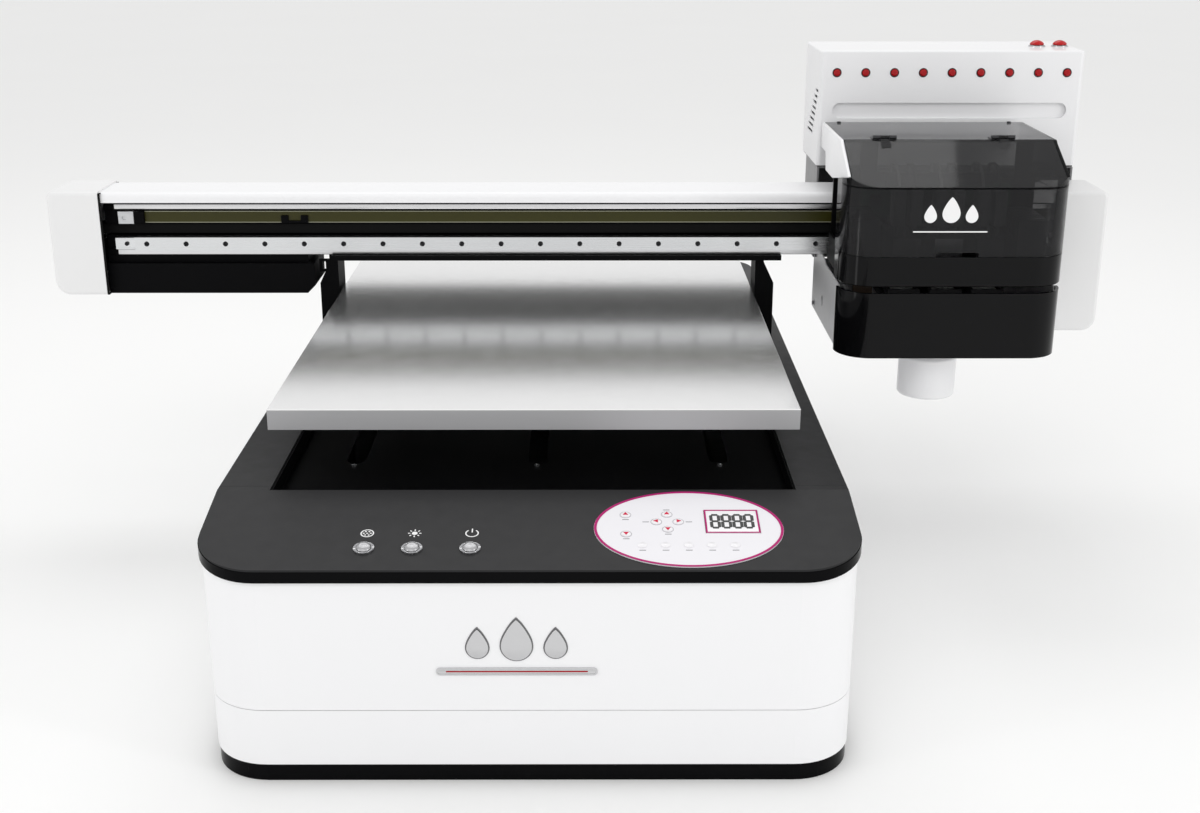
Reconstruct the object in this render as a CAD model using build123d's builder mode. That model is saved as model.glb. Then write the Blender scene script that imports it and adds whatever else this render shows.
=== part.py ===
from build123d import *
import math
import os

# Flatbed UV printer. Millimetres, +Z up, origin on the floor under the middle of the base.
# X runs from left to right, Y from the control panel to the back.

# Base cabinet
base_width = 734.0
base_depth = 1340.0
base_corner = 70.0
shell_wall = 3.0
plinth_height = 21.0
seam_height = 90.3
shadow_gap = 0.8
front = -base_depth / 2
back = base_depth / 2

# Top of the base: an inclined control panel, then a level deck around a recess
deck_top = 291.2
kink_y = front + 157.0
panel_front_y = front - 6.0
panel_front_top = 261.7
rim_drop = 15.0
rim_overhang = 3.5
rim_wall = 12.0
sheet = 2.5
seam_y = kink_y + 12.6
incline = math.atan2(deck_top - panel_front_top, kink_y - panel_front_y)
recess_half = 308.0
recess_back = front + 1300.0
tray_floor = 270.0
slot_x = 230.0
slot_width = 24.0
slot_front = front + 300.0
slot_back = front + 1294.0

# Inside the base
frame_x = (318.0, 352.0)
cross_top = 60.0
rail_beam_top = 100.0
y_rail_x = 185.0
saddle_y = front + 690.0
saddle_half = 170.0
saddle_bottom = 128.0
saddle_top = 140.0
screw_x = 60.0
screw_z = 95.0
screw_half = 500.0
lift_y = front + 796.0
column_radius = 10.0
fit = 0.05

# Table
table_half = 317.0
table_front = front + 210.0
table_back = front + 1170.0
table_bottom = 347.0
table_top = 373.0
skin = 1.5
platform_bottom = 325.0

# Gantry beam and its rail
beam_front = front + 790.0
beam_back = front + 856.0
beam_bottom = 428.0
beam_top = 524.5
beam_left = -673.0
beam_right = 771.0
strip_front = front + 786.0
rail_low = 437.5
rail_high = 457.5
rail_face = front + 772.5
rail_left = -627.0
rail_right = 765.0
rail_pitch = 60.0
first_hole_x = -608.8
channel_top = 476.0
upright_x = (322.0, 351.0)
cap_front = front + 761.0
cap_back = front + 862.0
cap_top = 529.0
left_cap_x = (-751.0, -673.0)
right_cap_x = (771.0, 848.0)

# Toothed belt of the carriage
belt_y = front + 808.0
belt_radius = 12.0
belt_thickness = 1.6
belt_z = (460.0, 474.0)
drive_x = -712.0
idler_x = 810.0

# Carriage, parked at the right
car_x = (421.5, 740.0)
car_front = front + 580.0
car_corner = 48.0
car_wall = 4.0
car_bottom = 428.0
shell_top = 470.2
hood_bottom = 471.0
hood_bend = 569.0
fold_y = front + 682.0
car_top = 619.0
car_back = front + 862.0
cheek_x = (426.0, 430.0)
head_bottom = 420.0
head_xs = (520.0, 580.0, 640.0)
hinge_y = front + 685.0
hinge_z = 622.2
hinge_xs = (489.0, 659.0)

# Capping station under the parked carriage
station_bottom = 323.0
station_top = 418.0
station_back = front + 880.0
bottle_at = (568.0, front + 660.0)
wiper_x = 460.0
wiper_rod_z = 378.0
cap_guides_x = (540.0, 620.0)
cap_guide_y = front + 722.0

# Ink cabinet behind the carriage
cabinet_x = (422.0, 828.0)
cabinet_y = (front + 880.0, front + 1040.0)
cabinet_z = (549.0, 725.0)
lamp_first_x = 447.6
lamp_pitch = 44.35
lamp_count = 9
lamp_z = 692.0
lamp_radius = 5.5
cabinet_button_xs = (772.0, 808.0)
cabinet_button_y = front + 950.0

# Controls on the inclined panel; x, then distance up the incline from its front edge
button_xs = (-182.0, -129.0, -65.0)
button_up = 43.7
keypad_at = (177.5, 83.4)
keypad_radii = (106.5, 75.9)
display_at = (227.0, 96.1)
display_size = (61.0, 46.8)

panel = Plane(
    origin=(0, panel_front_y, panel_front_top),
    x_dir=(1, 0, 0),
    z_dir=(0, -math.sin(incline), math.cos(incline)),
)


def block(low, high, mode=Mode.ADD):
    """An upright box between two opposite corners."""
    middle = [(a + b) / 2 for a, b in zip(low, high)]
    with Locations(tuple(middle)):
        return Box(*[b - a for a, b in zip(low, high)], mode=mode)


def post(x, y, low, high, radius, mode=Mode.ADD):
    """A round bar standing on z = low."""
    with Locations((x, y, (low + high) / 2)):
        return Cylinder(radius, high - low, mode=mode)


def bar_along_y(x, z, low, high, radius, mode=Mode.ADD):
    """A round bar lying from front to back."""
    with Locations(Location((x, (low + high) / 2, z), (90, 0, 0))):
        return Cylinder(radius, high - low, mode=mode)


def upright_plane(x, y):
    """A plane facing the front, through a point on the floor; its second axis is Z."""
    return Plane(origin=(x, y, 0), x_dir=(1, 0, 0), z_dir=(0, -1, 0))


def plan(width, depth, radius, height):
    """A level rounded rectangle about the middle of the base."""
    with BuildSketch(Plane.XY.offset(height)) as shape:
        RectangleRounded(width, depth, radius)
    return shape.sketch


def side(points):
    """A face in the YZ plane from its corners."""
    with BuildSketch(Plane.YZ) as shape:
        with BuildLine():
            Polyline(*points, close=True)
        make_face()
    return shape.sketch


def incline_z(y, drop):
    """Height of the base's top outline at y, lowered by drop."""
    return min(deck_top, deck_top - (kink_y - y) * math.tan(incline)) - drop


def top_band(drop_high, drop_low, y_low, y_high):
    """Side face that follows the incline and the deck between two drops."""
    return side(
        [
            (y_low, incline_z(y_low, drop_low)),
            (kink_y, deck_top - drop_low),
            (y_high, deck_top - drop_low),
            (y_high, deck_top - drop_high),
            (kink_y, deck_top - drop_high),
            (y_low, incline_z(y_low, drop_high)),
        ]
    )


def car_plan(inset, height, back_y):
    """Plan outline of the carriage, with rounded front corners only."""
    low_x = car_x[0] + inset
    high_x = car_x[1] - inset
    low_y = car_front + inset
    radius = car_corner - inset
    with BuildSketch(Plane.XY.offset(height)) as shape:
        with BuildLine():
            Line((low_x + radius, low_y), (high_x - radius, low_y))
            RadiusArc((high_x - radius, low_y), (high_x, low_y + radius), -radius)
            Polyline(
                (high_x, low_y + radius), (high_x, back_y), (low_x, back_y), (low_x, low_y + radius)
            )
            RadiusArc((low_x, low_y + radius), (low_x + radius, low_y), -radius)
        make_face()
    return shape.sketch


# ---------- Base cabinet ----------

with BuildPart() as plinth:
    extrude(plan(base_width - 3, base_depth - 3, base_corner - 1.5, 0), amount=plinth_height)
    extrude(
        plan(base_width - 11, base_depth - 11, base_corner - 5.5, 3),
        amount=plinth_height,
        mode=Mode.SUBTRACT,
    )

with BuildPart() as lower_shell:
    lower_height = seam_height - shadow_gap - plinth_height
    extrude(plan(base_width, base_depth, base_corner, plinth_height), amount=lower_height)
    extrude(
        plan(
            base_width - 2 * shell_wall,
            base_depth - 2 * shell_wall,
            base_corner - shell_wall,
            plinth_height,
        ),
        amount=lower_height,
        mode=Mode.SUBTRACT,
    )

with BuildPart() as upper_shell:
    upper_height = deck_top - seam_height
    extrude(plan(base_width, base_depth, base_corner, seam_height), amount=upper_height)
    extrude(
        plan(
            base_width - 2 * shell_wall,
            base_depth - 2 * shell_wall,
            base_corner - shell_wall,
            seam_height,
        ),
        amount=upper_height,
        mode=Mode.SUBTRACT,
    )
    extrude(top_band(-50, rim_drop, front - 50, back + 50), amount=400, both=True, mode=Mode.SUBTRACT)
    block((-220, back - 10, 108), (220, back + 10, 262), Mode.SUBTRACT)

with BuildPart() as rear_panel:
    block((-230, back, 98), (230, back + 2, 272))
    with BuildSketch(Plane.XZ.offset(-back - 2)):
        with Locations((90, 215)):
            with GridLocations(0, 13, 1, 5):
                SlotOverall(180, 6)
        with Locations((-160, 140)):
            Rectangle(48.6, 28.6)
    extrude(amount=2, mode=Mode.SUBTRACT)

with BuildPart() as power_inlet:
    block((-184, back - 28, 126), (-136, back + 2, 154))
    block((-190, back + 2, 120), (-130, back + 4.5, 160))
    block((-174, back - 16, 132), (-146, back + 6, 148), Mode.SUBTRACT)
    for pin_x in (-167.0, -160.0, -153.0):
        block((pin_x - 1, back - 16.5, 138), (pin_x + 1, back - 2, 142))

with BuildPart() as top_rim:
    rim_low = panel_front_top - rim_drop - 10
    outer_rim = 2 * rim_overhang
    extrude(
        plan(base_width + outer_rim, base_depth + outer_rim, base_corner + rim_overhang, rim_low),
        amount=70,
    )
    extrude(
        plan(
            base_width + outer_rim - 2 * rim_wall,
            base_depth + outer_rim - 2 * rim_wall,
            base_corner + rim_overhang - rim_wall,
            rim_low,
        ),
        amount=70,
        mode=Mode.SUBTRACT,
    )
    extrude(top_band(sheet, rim_drop, front - 50, back + 50), amount=400, both=True, mode=Mode.INTERSECT)

with BuildPart() as control_panel:
    extrude(plan(base_width + 5, base_depth + 5, base_corner + 2.5, 230), amount=70)
    extrude(top_band(0, sheet, front - 50, seam_y - 0.5), amount=400, both=True, mode=Mode.INTERSECT)
    block((-recess_half, kink_y, 200), (recess_half, back, 320), Mode.SUBTRACT)
    with BuildSketch(panel):
        with Locations(*[(x, button_up) for x in button_xs]):
            Circle(9.7)
        with Locations(display_at):
            Rectangle(display_size[0] + 1, display_size[1] + 1)
    extrude(amount=-2 * sheet, mode=Mode.SUBTRACT)

with BuildPart() as deck:
    extrude(plan(base_width + 5, base_depth + 5, base_corner + 2.5, deck_top - sheet), amount=sheet)
    block((-400, front - 50, 200), (400, seam_y, 320), Mode.SUBTRACT)
    block((-recess_half, front, 200), (recess_half, recess_back, 320), Mode.SUBTRACT)

with BuildPart() as recess_tray:
    tray_half = recess_half - 0.3
    tray_rim = deck_top - sheet
    block((-tray_half, kink_y + 0.3, tray_floor - 2), (tray_half, recess_back - 0.3, tray_rim))
    block((-tray_half + 2, kink_y + 2.3, tray_floor), (tray_half - 2, recess_back - 2.3, 320), Mode.SUBTRACT)
    slot_length = slot_back - slot_front
    with BuildSketch(Plane.XY.offset(tray_floor - 3)):
        with Locations(*[(x, (slot_front + slot_back) / 2) for x in (-slot_x, 0, slot_x)]):
            SlotOverall(slot_length, slot_width, rotation=90)
    extrude(amount=4, mode=Mode.SUBTRACT)

# ---------- Inside the base ----------

with BuildPart() as base_frame:
    for mirrored in (1, -1):
        x_near, x_far = sorted((mirrored * frame_x[0], mirrored * frame_x[1]))
        block((x_near, -600, 3), (x_far, 600, 43))
        block((x_near, kink_y + 30, 252), (x_far, 600, deck_top - sheet - 0.5))
        for y in (kink_y + 30, beam_front, 560):
            block((x_near, y, 43), (x_far, y + 40, 252))
        beam_low, beam_high = sorted((mirrored * (y_rail_x - 20), mirrored * (y_rail_x + 20)))
        block((beam_low, -640, cross_top), (beam_high, 640, rail_beam_top))
    for y in (-630, 600):
        block((-frame_x[1], y, 3), (frame_x[1], y + 30, cross_top))
    for y in (-540, 500):
        block((-frame_x[0], y, 3), (frame_x[0], y + 40, cross_top))

with BuildPart() as linear_rails:
    for rail_x in (-y_rail_x, y_rail_x):
        block((rail_x - 10, -640, rail_beam_top), (rail_x + 10, 640, rail_beam_top + 17.5))
        for groove_x in (rail_x - 9.3, rail_x + 9.3):
            groove_low = (groove_x - 0.8, -641, rail_beam_top + 9)
            groove_high = (groove_x + 0.8, 641, rail_beam_top + 12)
            block(groove_low, groove_high, Mode.SUBTRACT)
    block((rail_left, rail_face, rail_low), (rail_right, beam_front, rail_high))
    hole_count = int((rail_right - first_hole_x) // rail_pitch) + 1
    for n in range(hole_count):
        hole_at = (first_hole_x + n * rail_pitch, rail_face + 2, (rail_low + rail_high) / 2)
        with Locations(Location(hole_at, (90, 0, 0))):
            Cylinder(4.0, 8.0, mode=Mode.SUBTRACT)

with BuildPart() as screw_bearings:
    for y in (-530.0, 505.0):
        block((screw_x - 25, y, cross_top), (screw_x + 25, y + 25, 120))
    bar_along_y(screw_x, screw_z, -540, 540, 6 + fit, Mode.SUBTRACT)

with BuildPart() as y_screw:
    bar_along_y(screw_x, screw_z, -screw_half, screw_half, 10)
    bar_along_y(screw_x, screw_z, -550, 530, 6)

with BuildPart() as stepper_motors:
    block((screw_x - 28.5, -612, screw_z - 28.5), (screw_x + 28.5, -536, screw_z + 28.5))
    bar_along_y(screw_x, screw_z, -537, -534, 19)
    bar_along_y(screw_x, screw_z, -556, -530, 6 + fit, Mode.SUBTRACT)
    block((drive_x - 28.5, belt_y - 28.5, 398), (drive_x + 28.5, belt_y + 28.5, 448))
    post(drive_x, belt_y, 447, 450, 19)
    post(drive_x, belt_y, 420, 451, 4 + fit, Mode.SUBTRACT)

with BuildPart() as electronics:
    block((-150, -460, 3), (65, -345, 53))
    for n in range(12):
        block((-140 + n * 16, -440, 50), (-132 + n * 16, -380, 54), Mode.SUBTRACT)
    block((-150, -300, 11), (100, -140, 12.6))
    for x in (-144.0, 94.0):
        for y in (-294.0, -146.0):
            post(x, y, 3, 11, 3)
    for x, y, size in ((-110, -260, 40), (-40, -250, 28), (30, -260, 36), (70, -190, 24), (-90, -180, 30)):
        block((x, y, 12.6), (x + size, y + size, 12.6 + size / 2))

with BuildPart() as vacuum_blower:
    post(0, 330, 3, 50, 80)
    post(0, 330, 50, 56, 30)
    block((-80, 330, 8), (-40, 450, 44))
    level_edges = vacuum_blower.faces().filter_by(Axis.Z).edges()
    fillet(level_edges.filter_by(GeomType.CIRCLE).group_by(Axis.Z)[-1], 2)

# ---------- Table drive and table ----------

with BuildPart() as y_blocks:
    for x in (-y_rail_x, y_rail_x):
        for y in (saddle_y - 120, saddle_y + 120):
            block((x - 22, y - 35, rail_beam_top + 4), (x + 22, y + 35, saddle_bottom))
            block(
                (x - 10.3, y - 40, rail_beam_top),
                (x + 10.3, y + 40, rail_beam_top + 17.8),
                Mode.SUBTRACT,
            )

with BuildPart() as saddle:
    block((-280, saddle_y - saddle_half, saddle_bottom), (280, saddle_y + saddle_half, saddle_top))
    for x in (-slot_x, slot_x):
        for y in (lift_y - 30, lift_y + 30):
            post(x, y, saddle_top, 230, 18)
    block((screw_x - 22, saddle_y - 30, 72), (screw_x + 22, saddle_y + 30, saddle_bottom))
    bar_along_y(screw_x, screw_z, saddle_y - 40, saddle_y + 40, 10 + fit, Mode.SUBTRACT)
    for x in (-slot_x, slot_x):
        for y in (lift_y - 30, lift_y + 30):
            post(x, y, 100, 240, column_radius + fit, Mode.SUBTRACT)
    post(0, lift_y, 100, 240, 12, Mode.SUBTRACT)

with BuildPart() as lift_drive:
    block((-32, lift_y - 32, saddle_top), (125, lift_y + 32, 172))
    block((64, lift_y - 28.5, 172), (121, lift_y + 28.5, 245))
    post(0, lift_y, 172, 205, 20)
    post(0, lift_y, 130, 210, 8 + fit, Mode.SUBTRACT)

with BuildPart() as lift_columns:
    for x in (-slot_x, slot_x):
        for y in (lift_y - 30, lift_y + 30):
            post(x, y, 116, platform_bottom, column_radius)
    post(0, lift_y, 116, platform_bottom, 8)

with BuildPart() as lift_platform:
    block((-248, front + 620, platform_bottom), (248, front + 846, table_bottom))
    block((-200, front + 640, platform_bottom - 1), (-30, front + 740, table_bottom - 5), Mode.SUBTRACT)
    block((30, front + 640, platform_bottom - 1), (200, front + 740, table_bottom - 5), Mode.SUBTRACT)

with BuildPart() as table_box:
    block((-table_half, table_front, table_bottom), (table_half, table_back, table_top - skin))
    inside = table_half - 6
    block((-inside, table_front + 6, table_bottom + 3), (inside, table_back - 6, 400), Mode.SUBTRACT)
    for n in range(1, 6):
        rib_x = -table_half + n * 2 * table_half / 6
        rib_low = (rib_x - 2, table_front + 30, table_bottom + 2)
        block(rib_low, (rib_x + 2, table_back - 30, table_top - skin))

with BuildPart() as table_skin:
    block((-table_half, table_front, table_top - skin), (table_half, table_back, table_top))
    chamfer(table_skin.faces().sort_by(Axis.Z)[-1].edges(), 0.6)

# ---------- Gantry ----------

with BuildPart() as uprights:
    for mirrored in (1, -1):
        with BuildSketch(Plane.XZ.offset(-beam_front)):
            with BuildLine():
                Polyline(
                    (mirrored * upright_x[0], deck_top),
                    (mirrored * upright_x[1], deck_top),
                    (mirrored * upright_x[1], 382),
                    (mirrored * 335, 415),
                    (mirrored * 335, beam_bottom),
                    (mirrored * 300, beam_bottom),
                    (mirrored * 300, beam_bottom - 9),
                    (mirrored * upright_x[0], beam_bottom - 9),
                    close=True,
                )
            make_face()
        extrude(amount=-60)
        pocket = sorted((mirrored * (upright_x[0] + 5), mirrored * (upright_x[1] - 5)))
        block((pocket[0], beam_front + 6, deck_top - 1), (pocket[1], beam_front + 61, 376), Mode.SUBTRACT)
    block((-330, beam_front - 14, 420.5), (360, beam_front, beam_bottom))
    block((-351, beam_front, 400), (-335, beam_front + 4, 420))
    block((-346, beam_front - 1, 404), (-341, beam_front + 5, 416), Mode.SUBTRACT)

with BuildPart() as beam:
    block((beam_left, beam_front, beam_bottom), (beam_right, beam_back, beam_top))
    block((beam_left, strip_front, beam_bottom), (beam_right, beam_front, rail_low))
    block((beam_left, strip_front + 2, channel_top), (beam_right, beam_front, 497))
    block((beam_left, strip_front, 498.5), (beam_right, beam_front, 506))
    channel_low = (beam_left - 1, beam_front - 5, rail_high)
    block(channel_low, (beam_right + 1, front + 830, channel_top), Mode.SUBTRACT)
    block((beam_left - 1, front + 836, 433), (beam_right + 1, front + 851, 519), Mode.SUBTRACT)
    block((beam_left - 1, front + 796, 482), (beam_right + 1, front + 831, 519), Mode.SUBTRACT)
    block((beam_left - 1, front + 796, 433), (beam_right + 1, front + 831, 452), Mode.SUBTRACT)
    block((beam_right, belt_y - 12, 440), (idler_x + 14, belt_y + 12, 446))
    block((beam_right - 20, belt_y - 12, 440), (beam_right, belt_y + 12, 446))
    block((beam_right - 20, belt_y - 13, 446), (beam_right - 12, belt_y + 13, 452))
    post(idler_x, belt_y, 430, 450, 4 + fit, Mode.SUBTRACT)

with BuildPart() as beam_cover:
    cover_front = front + 765.0
    cover_back = front + 860.0
    with BuildSketch(Plane.YZ.offset(beam_left)):
        with BuildLine():
            Line((cover_front, 512), (cover_front, 519))
            RadiusArc((cover_front, 519), (cover_front + 8, 527), 8)
            Line((cover_front + 8, 527), (cover_back - 6, 527))
            RadiusArc((cover_back - 6, 527), (cover_back, 521), 6)
            Line((cover_back, 521), (cover_back, 432))
            Line((cover_back, 432), (cover_back - 2.5, 432))
            Line((cover_back - 2.5, 432), (cover_back - 2.5, beam_top))
            Line((cover_back - 2.5, beam_top), (cover_front + 8, beam_top))
            RadiusArc((cover_front + 8, beam_top), (cover_front + 2.5, 519), -5.5)
            Line((cover_front + 2.5, 519), (cover_front + 2.5, 512))
            Line((cover_front + 2.5, 512), (cover_front, 512))
        make_face()
    extrude(amount=beam_right - beam_left)

with BuildPart() as left_end_cap:
    block((left_cap_x[0], cap_front, 370), (left_cap_x[1], cap_back, cap_top))
    outer_edges = left_end_cap.edges().filter_by(Axis.Y).group_by(Axis.X)[0]
    fillet(outer_edges.sort_by(Axis.Z)[0], 22)
    fillet(left_end_cap.edges().filter_by(Axis.Y).group_by(Axis.X)[0].sort_by(Axis.Z)[-1], 9)
    fillet(left_end_cap.faces().sort_by(Axis.Y)[0].edges().filter_by(Axis.X).sort_by(Axis.Z)[-1], 6)
    hollow_high = (left_cap_x[1] + 1, cap_back - 4, cap_top - 7)
    block((left_cap_x[0] + 4, cap_front + 6, 396), hollow_high, Mode.SUBTRACT)
    block((left_cap_x[0] + 20, cap_front + 6, 373), (left_cap_x[1] + 1, cap_back - 4, 397), Mode.SUBTRACT)

with BuildPart() as right_end_cap:
    block((right_cap_x[0], cap_front, 312), (right_cap_x[1], cap_back, cap_top))
    fillet(right_end_cap.edges().filter_by(Axis.Y).group_by(Axis.X)[-1].sort_by(Axis.Z)[0], 22)
    fillet(right_end_cap.edges().filter_by(Axis.Y).group_by(Axis.X)[-1].sort_by(Axis.Z)[-1], 9)
    fillet(right_end_cap.faces().sort_by(Axis.Y)[0].edges().filter_by(Axis.X).sort_by(Axis.Z)[-1], 6)
    hollow_low = (right_cap_x[0] - 1, cap_front + 6, 338)
    block(hollow_low, (right_cap_x[1] - 4, cap_back - 4, cap_top - 7), Mode.SUBTRACT)

with BuildPart() as left_housing:
    with BuildSketch(Plane.XZ.offset(-(front + 775))):
        with BuildLine():
            Polyline((-673, 370), (-368, 370), (-356, 382), (-356, 416.5), (-673, 416.5), close=True)
        make_face()
    extrude(amount=-87)
    block((-673, front + 785, 416.5), (-366, cap_back, beam_bottom))
    block((-674, front + 778, 373), (-372, cap_back - 3, 413.5), Mode.SUBTRACT)

with BuildPart() as encoder_strip:
    block((-612, strip_front + 1.2, 477.6), (rail_right, strip_front + 2, 495.4))

with BuildPart() as strip_clamps:
    block((-651, front + 780, 477), (-627.4, strip_front + 2, 496))
    block((-627.4, front + 781, 477), (-612, strip_front + 2, 496))
    block((-404, front + 784, 477.6), (-363, strip_front + 1.2, 481))
    for x in (-404.0, -374.0):
        block((x, front + 784, 481), (x + 11, strip_front + 1.2, 489))
    with Locations(Location((-642, front + 780, 486), (90, 0, 0))):
        Cylinder(3, 6, mode=Mode.SUBTRACT)

with BuildPart() as carriage_belt:
    belt_middle = (drive_x + idler_x) / 2
    belt_span = idler_x - drive_x
    belt_out = 2 * (belt_radius + belt_thickness)
    with BuildSketch(Plane.XY.offset(belt_z[0])):
        with Locations((belt_middle, belt_y)):
            SlotCenterToCenter(belt_span, belt_out)
            SlotCenterToCenter(belt_span, 2 * belt_radius, mode=Mode.SUBTRACT)
    extrude(amount=belt_z[1] - belt_z[0])


def pulley(x, shaft_low):
    """Belt pulley with two flanges and a shaft pointing down."""
    post(x, belt_y, belt_z[0] - 0.3, belt_z[1] + 0.3, belt_radius - 0.1)
    post(x, belt_y, belt_z[0] - 2, belt_z[0] - 0.3, belt_radius + 2)
    post(x, belt_y, belt_z[1] + 0.3, belt_z[1] + 2, belt_radius + 2)
    post(x, belt_y, shaft_low, belt_z[0], 4)


with BuildPart() as drive_pulley:
    pulley(drive_x, 424)

with BuildPart() as idler_pulley:
    pulley(idler_x, 438)

# ---------- Carriage ----------

with BuildPart() as carriage_plate:
    extrude(car_plan(5.5, car_bottom, front + 752), amount=6)
    for x in head_xs:
        block((x - 22, front + 624, 420), (x + 22, front + 746, 440), Mode.SUBTRACT)
    for x in (440.0, 678.0):
        block((x - 1, front + 629, 420), (x + 43, front + 741, 440), Mode.SUBTRACT)
    block((430.5, front + 752, 436), (731.0, front + 758, 560))
    for x in (427.0, 730.5):
        block((x, front + 655, car_bottom + 6), (x + 4, front + 752, 470))
    block((427.0, front + 746, car_bottom), (734.5, front + 758, 440))
    block((560, front + 758, 461), (600, front + 793.6, 473))
    block((610, front + 758, 480), (640, front + 782.5, 500))
    for x in (458.0, 682.0):
        block((x, front + 690, 552), (x + 24, front + 752, 560))
        block((x, front + 690, 560), (x + 24, front + 696, car_top - 4))

with BuildPart() as rail_blocks:
    for x in (470.0, 640.0):
        block((x, front + 758, 430.2), (x + 50, front + 785, 460))
        rail_room = (x + 51, front + 786, rail_high + 0.3)
        block((x - 1, rail_face - 0.3, rail_low - 0.3), rail_room, Mode.SUBTRACT)

with BuildPart() as print_heads:
    for x in head_xs:
        block((x - 21, front + 625, head_bottom), (x + 21, front + 745, 434))
        block((x - 26, front + 622, 434), (x + 26, front + 746, 440))
        block((x - 20, front + 630, 440), (x + 20, front + 740, 486))
        for column in (-12.0, 0.0, 12.0):
            post(x + column, front + 650, 486, 500, 2.5)
            post(x + column, front + 720, 486, 500, 2.5)

with BuildPart() as uv_lamps:
    for x in (440.0, 678.0):
        block((x, front + 630, 422), (x + 42, front + 740, 434))
        block((x, front + 633, 434), (x + 42, front + 737, 512))
        for n in range(8):
            block((x - 1, front + 640 + n * 12, 480), (x + 43, front + 645 + n * 12, 513), Mode.SUBTRACT)

with BuildPart() as carriage_shell:
    extrude(car_plan(0, car_bottom, front + 655), amount=shell_top - car_bottom)
    extrude(car_plan(car_wall, car_bottom, front + 660), amount=shell_top - car_bottom, mode=Mode.SUBTRACT)
    chamfer(carriage_shell.faces().sort_by(Axis.Z)[0].edges().sort_by(Axis.Y)[0], 1)

with BuildPart() as carriage_cheeks:
    for x in (cheek_x[0], car_x[0] + car_x[1] - cheek_x[1]):
        with BuildSketch(Plane.YZ.offset(x)):
            with BuildLine():
                Polyline(
                    (front + 604, hood_bend + 11),
                    (front + 606, hood_bend + 9),
                    (front + 741, 554),
                    (front + 808, 554),
                    (front + 817, 581),
                    (car_back, 581),
                    (car_back, car_top),
                    (fold_y, car_top),
                    (front + 676, hood_bend + 45.5),
                    close=True,
                )
            make_face()
        extrude(amount=4)

with BuildPart() as carriage_top:
    block((cheek_x[1], fold_y + 4, car_top - 4), (car_x[0] + car_x[1] - cheek_x[1], car_back, car_top))
    for x in hinge_xs:
        block((x - 18, fold_y + 3, car_top - 5), (x + 18, fold_y + 5, car_top + 1), Mode.SUBTRACT)

with BuildPart() as hood_hinges:
    for x in hinge_xs:
        block((x - 17, fold_y + 6.6, car_top), (x + 17, fold_y + 22, car_top + 1.2))
        for side_x in (-17.0, 7.0):
            with Locations(Location((x + side_x + 5, hinge_y, hinge_z), (0, 90, 0))):
                Cylinder(3, 10)
            block((x + side_x, hinge_y, car_top), (x + side_x + 10, fold_y + 22, car_top + 1.2))
        with Locations(Location((x, hinge_y, hinge_z), (0, 90, 0))):
            Cylinder(1.4, 34)

# Inside of the hood, taken out of its outer shape
with BuildPart() as hood_core:
    extrude(car_plan(car_wall, hood_bottom - 1, front + 692), amount=160)
    hood_inside = side(
        [
            (car_front, hood_bottom - 1),
            (front + 691, hood_bottom - 1),
            (front + 691, car_top),
            (fold_y, car_top - 4.4),
            (car_front + 2, hood_bend - 3.4),
            (car_front, hood_bend - 4.8),
        ]
    )
    extrude(hood_inside, amount=800, both=True, mode=Mode.INTERSECT)

with BuildPart() as hood:
    extrude(car_plan(0, hood_bottom, front + 690), amount=car_top - hood_bottom)
    hood_outside = side(
        [
            (car_front - 1, hood_bottom),
            (front + 660, hood_bottom),
            (front + 660, hood_bend + 20),
            (fold_y, car_top - 12),
            (fold_y, car_top),
            (car_front + 2, hood_bend + 1),
            (car_front - 1, hood_bend - 0.4),
        ]
    )
    extrude(hood_outside, amount=800, both=True, mode=Mode.INTERSECT)
    add(hood_core.part, mode=Mode.SUBTRACT)
    cheek_room = side(
        [
            (front + 602, hood_bend + 9.5),
            (front + 602, hood_bend + 40),
            (front + 700, car_top + 20),
            (front + 700, 562),
        ]
    )
    middle_x = (car_x[0] + car_x[1]) / 2
    near_cheek = middle_x - cheek_x[1] - 0.7
    for mirrored in (1, -1):
        gap_from = middle_x + mirrored * near_cheek
        gap_faces = cheek_room.moved(Location((gap_from, 0, 0)))
        extrude(gap_faces, amount=mirrored * 40, mode=Mode.SUBTRACT)
    notch_high = (middle_x + 30, car_front + 10, hood_bottom + 6)
    block((middle_x - 30, car_front - 5, hood_bottom - 1), notch_high, Mode.SUBTRACT)
    relief_middle = (cheek_x[0] - 0.5 + cheek_x[1] + 1.2) / 2
    relief_length = cheek_x[1] - cheek_x[0] + 1.7
    for mirrored in (1, -1):
        relief_x = middle_x + mirrored * (middle_x - relief_middle)
        with Locations(Location((relief_x, hinge_y, hinge_z), (0, 90, 0))):
            Cylinder(92.5, relief_length, mode=Mode.SUBTRACT)
    leaf = side(
        [
            (hinge_y, car_top + 0.4),
            (hinge_y, car_top + 2.6),
            (front + 679, car_top + 1.4),
            (front + 664, hood_bend + 42.6),
            (front + 664, hood_bend + 40),
            (front + 679, car_top - 2.6),
        ]
    )
    for x in hinge_xs:
        extrude(leaf.moved(Location((x, 0, 0))), amount=6.5, both=True)
        with Locations(Location((x, hinge_y, hinge_z), (0, 90, 0))):
            Cylinder(3, 13)
            Cylinder(1.4 + fit, 14, mode=Mode.SUBTRACT)

# ---------- Capping station ----------

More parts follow.
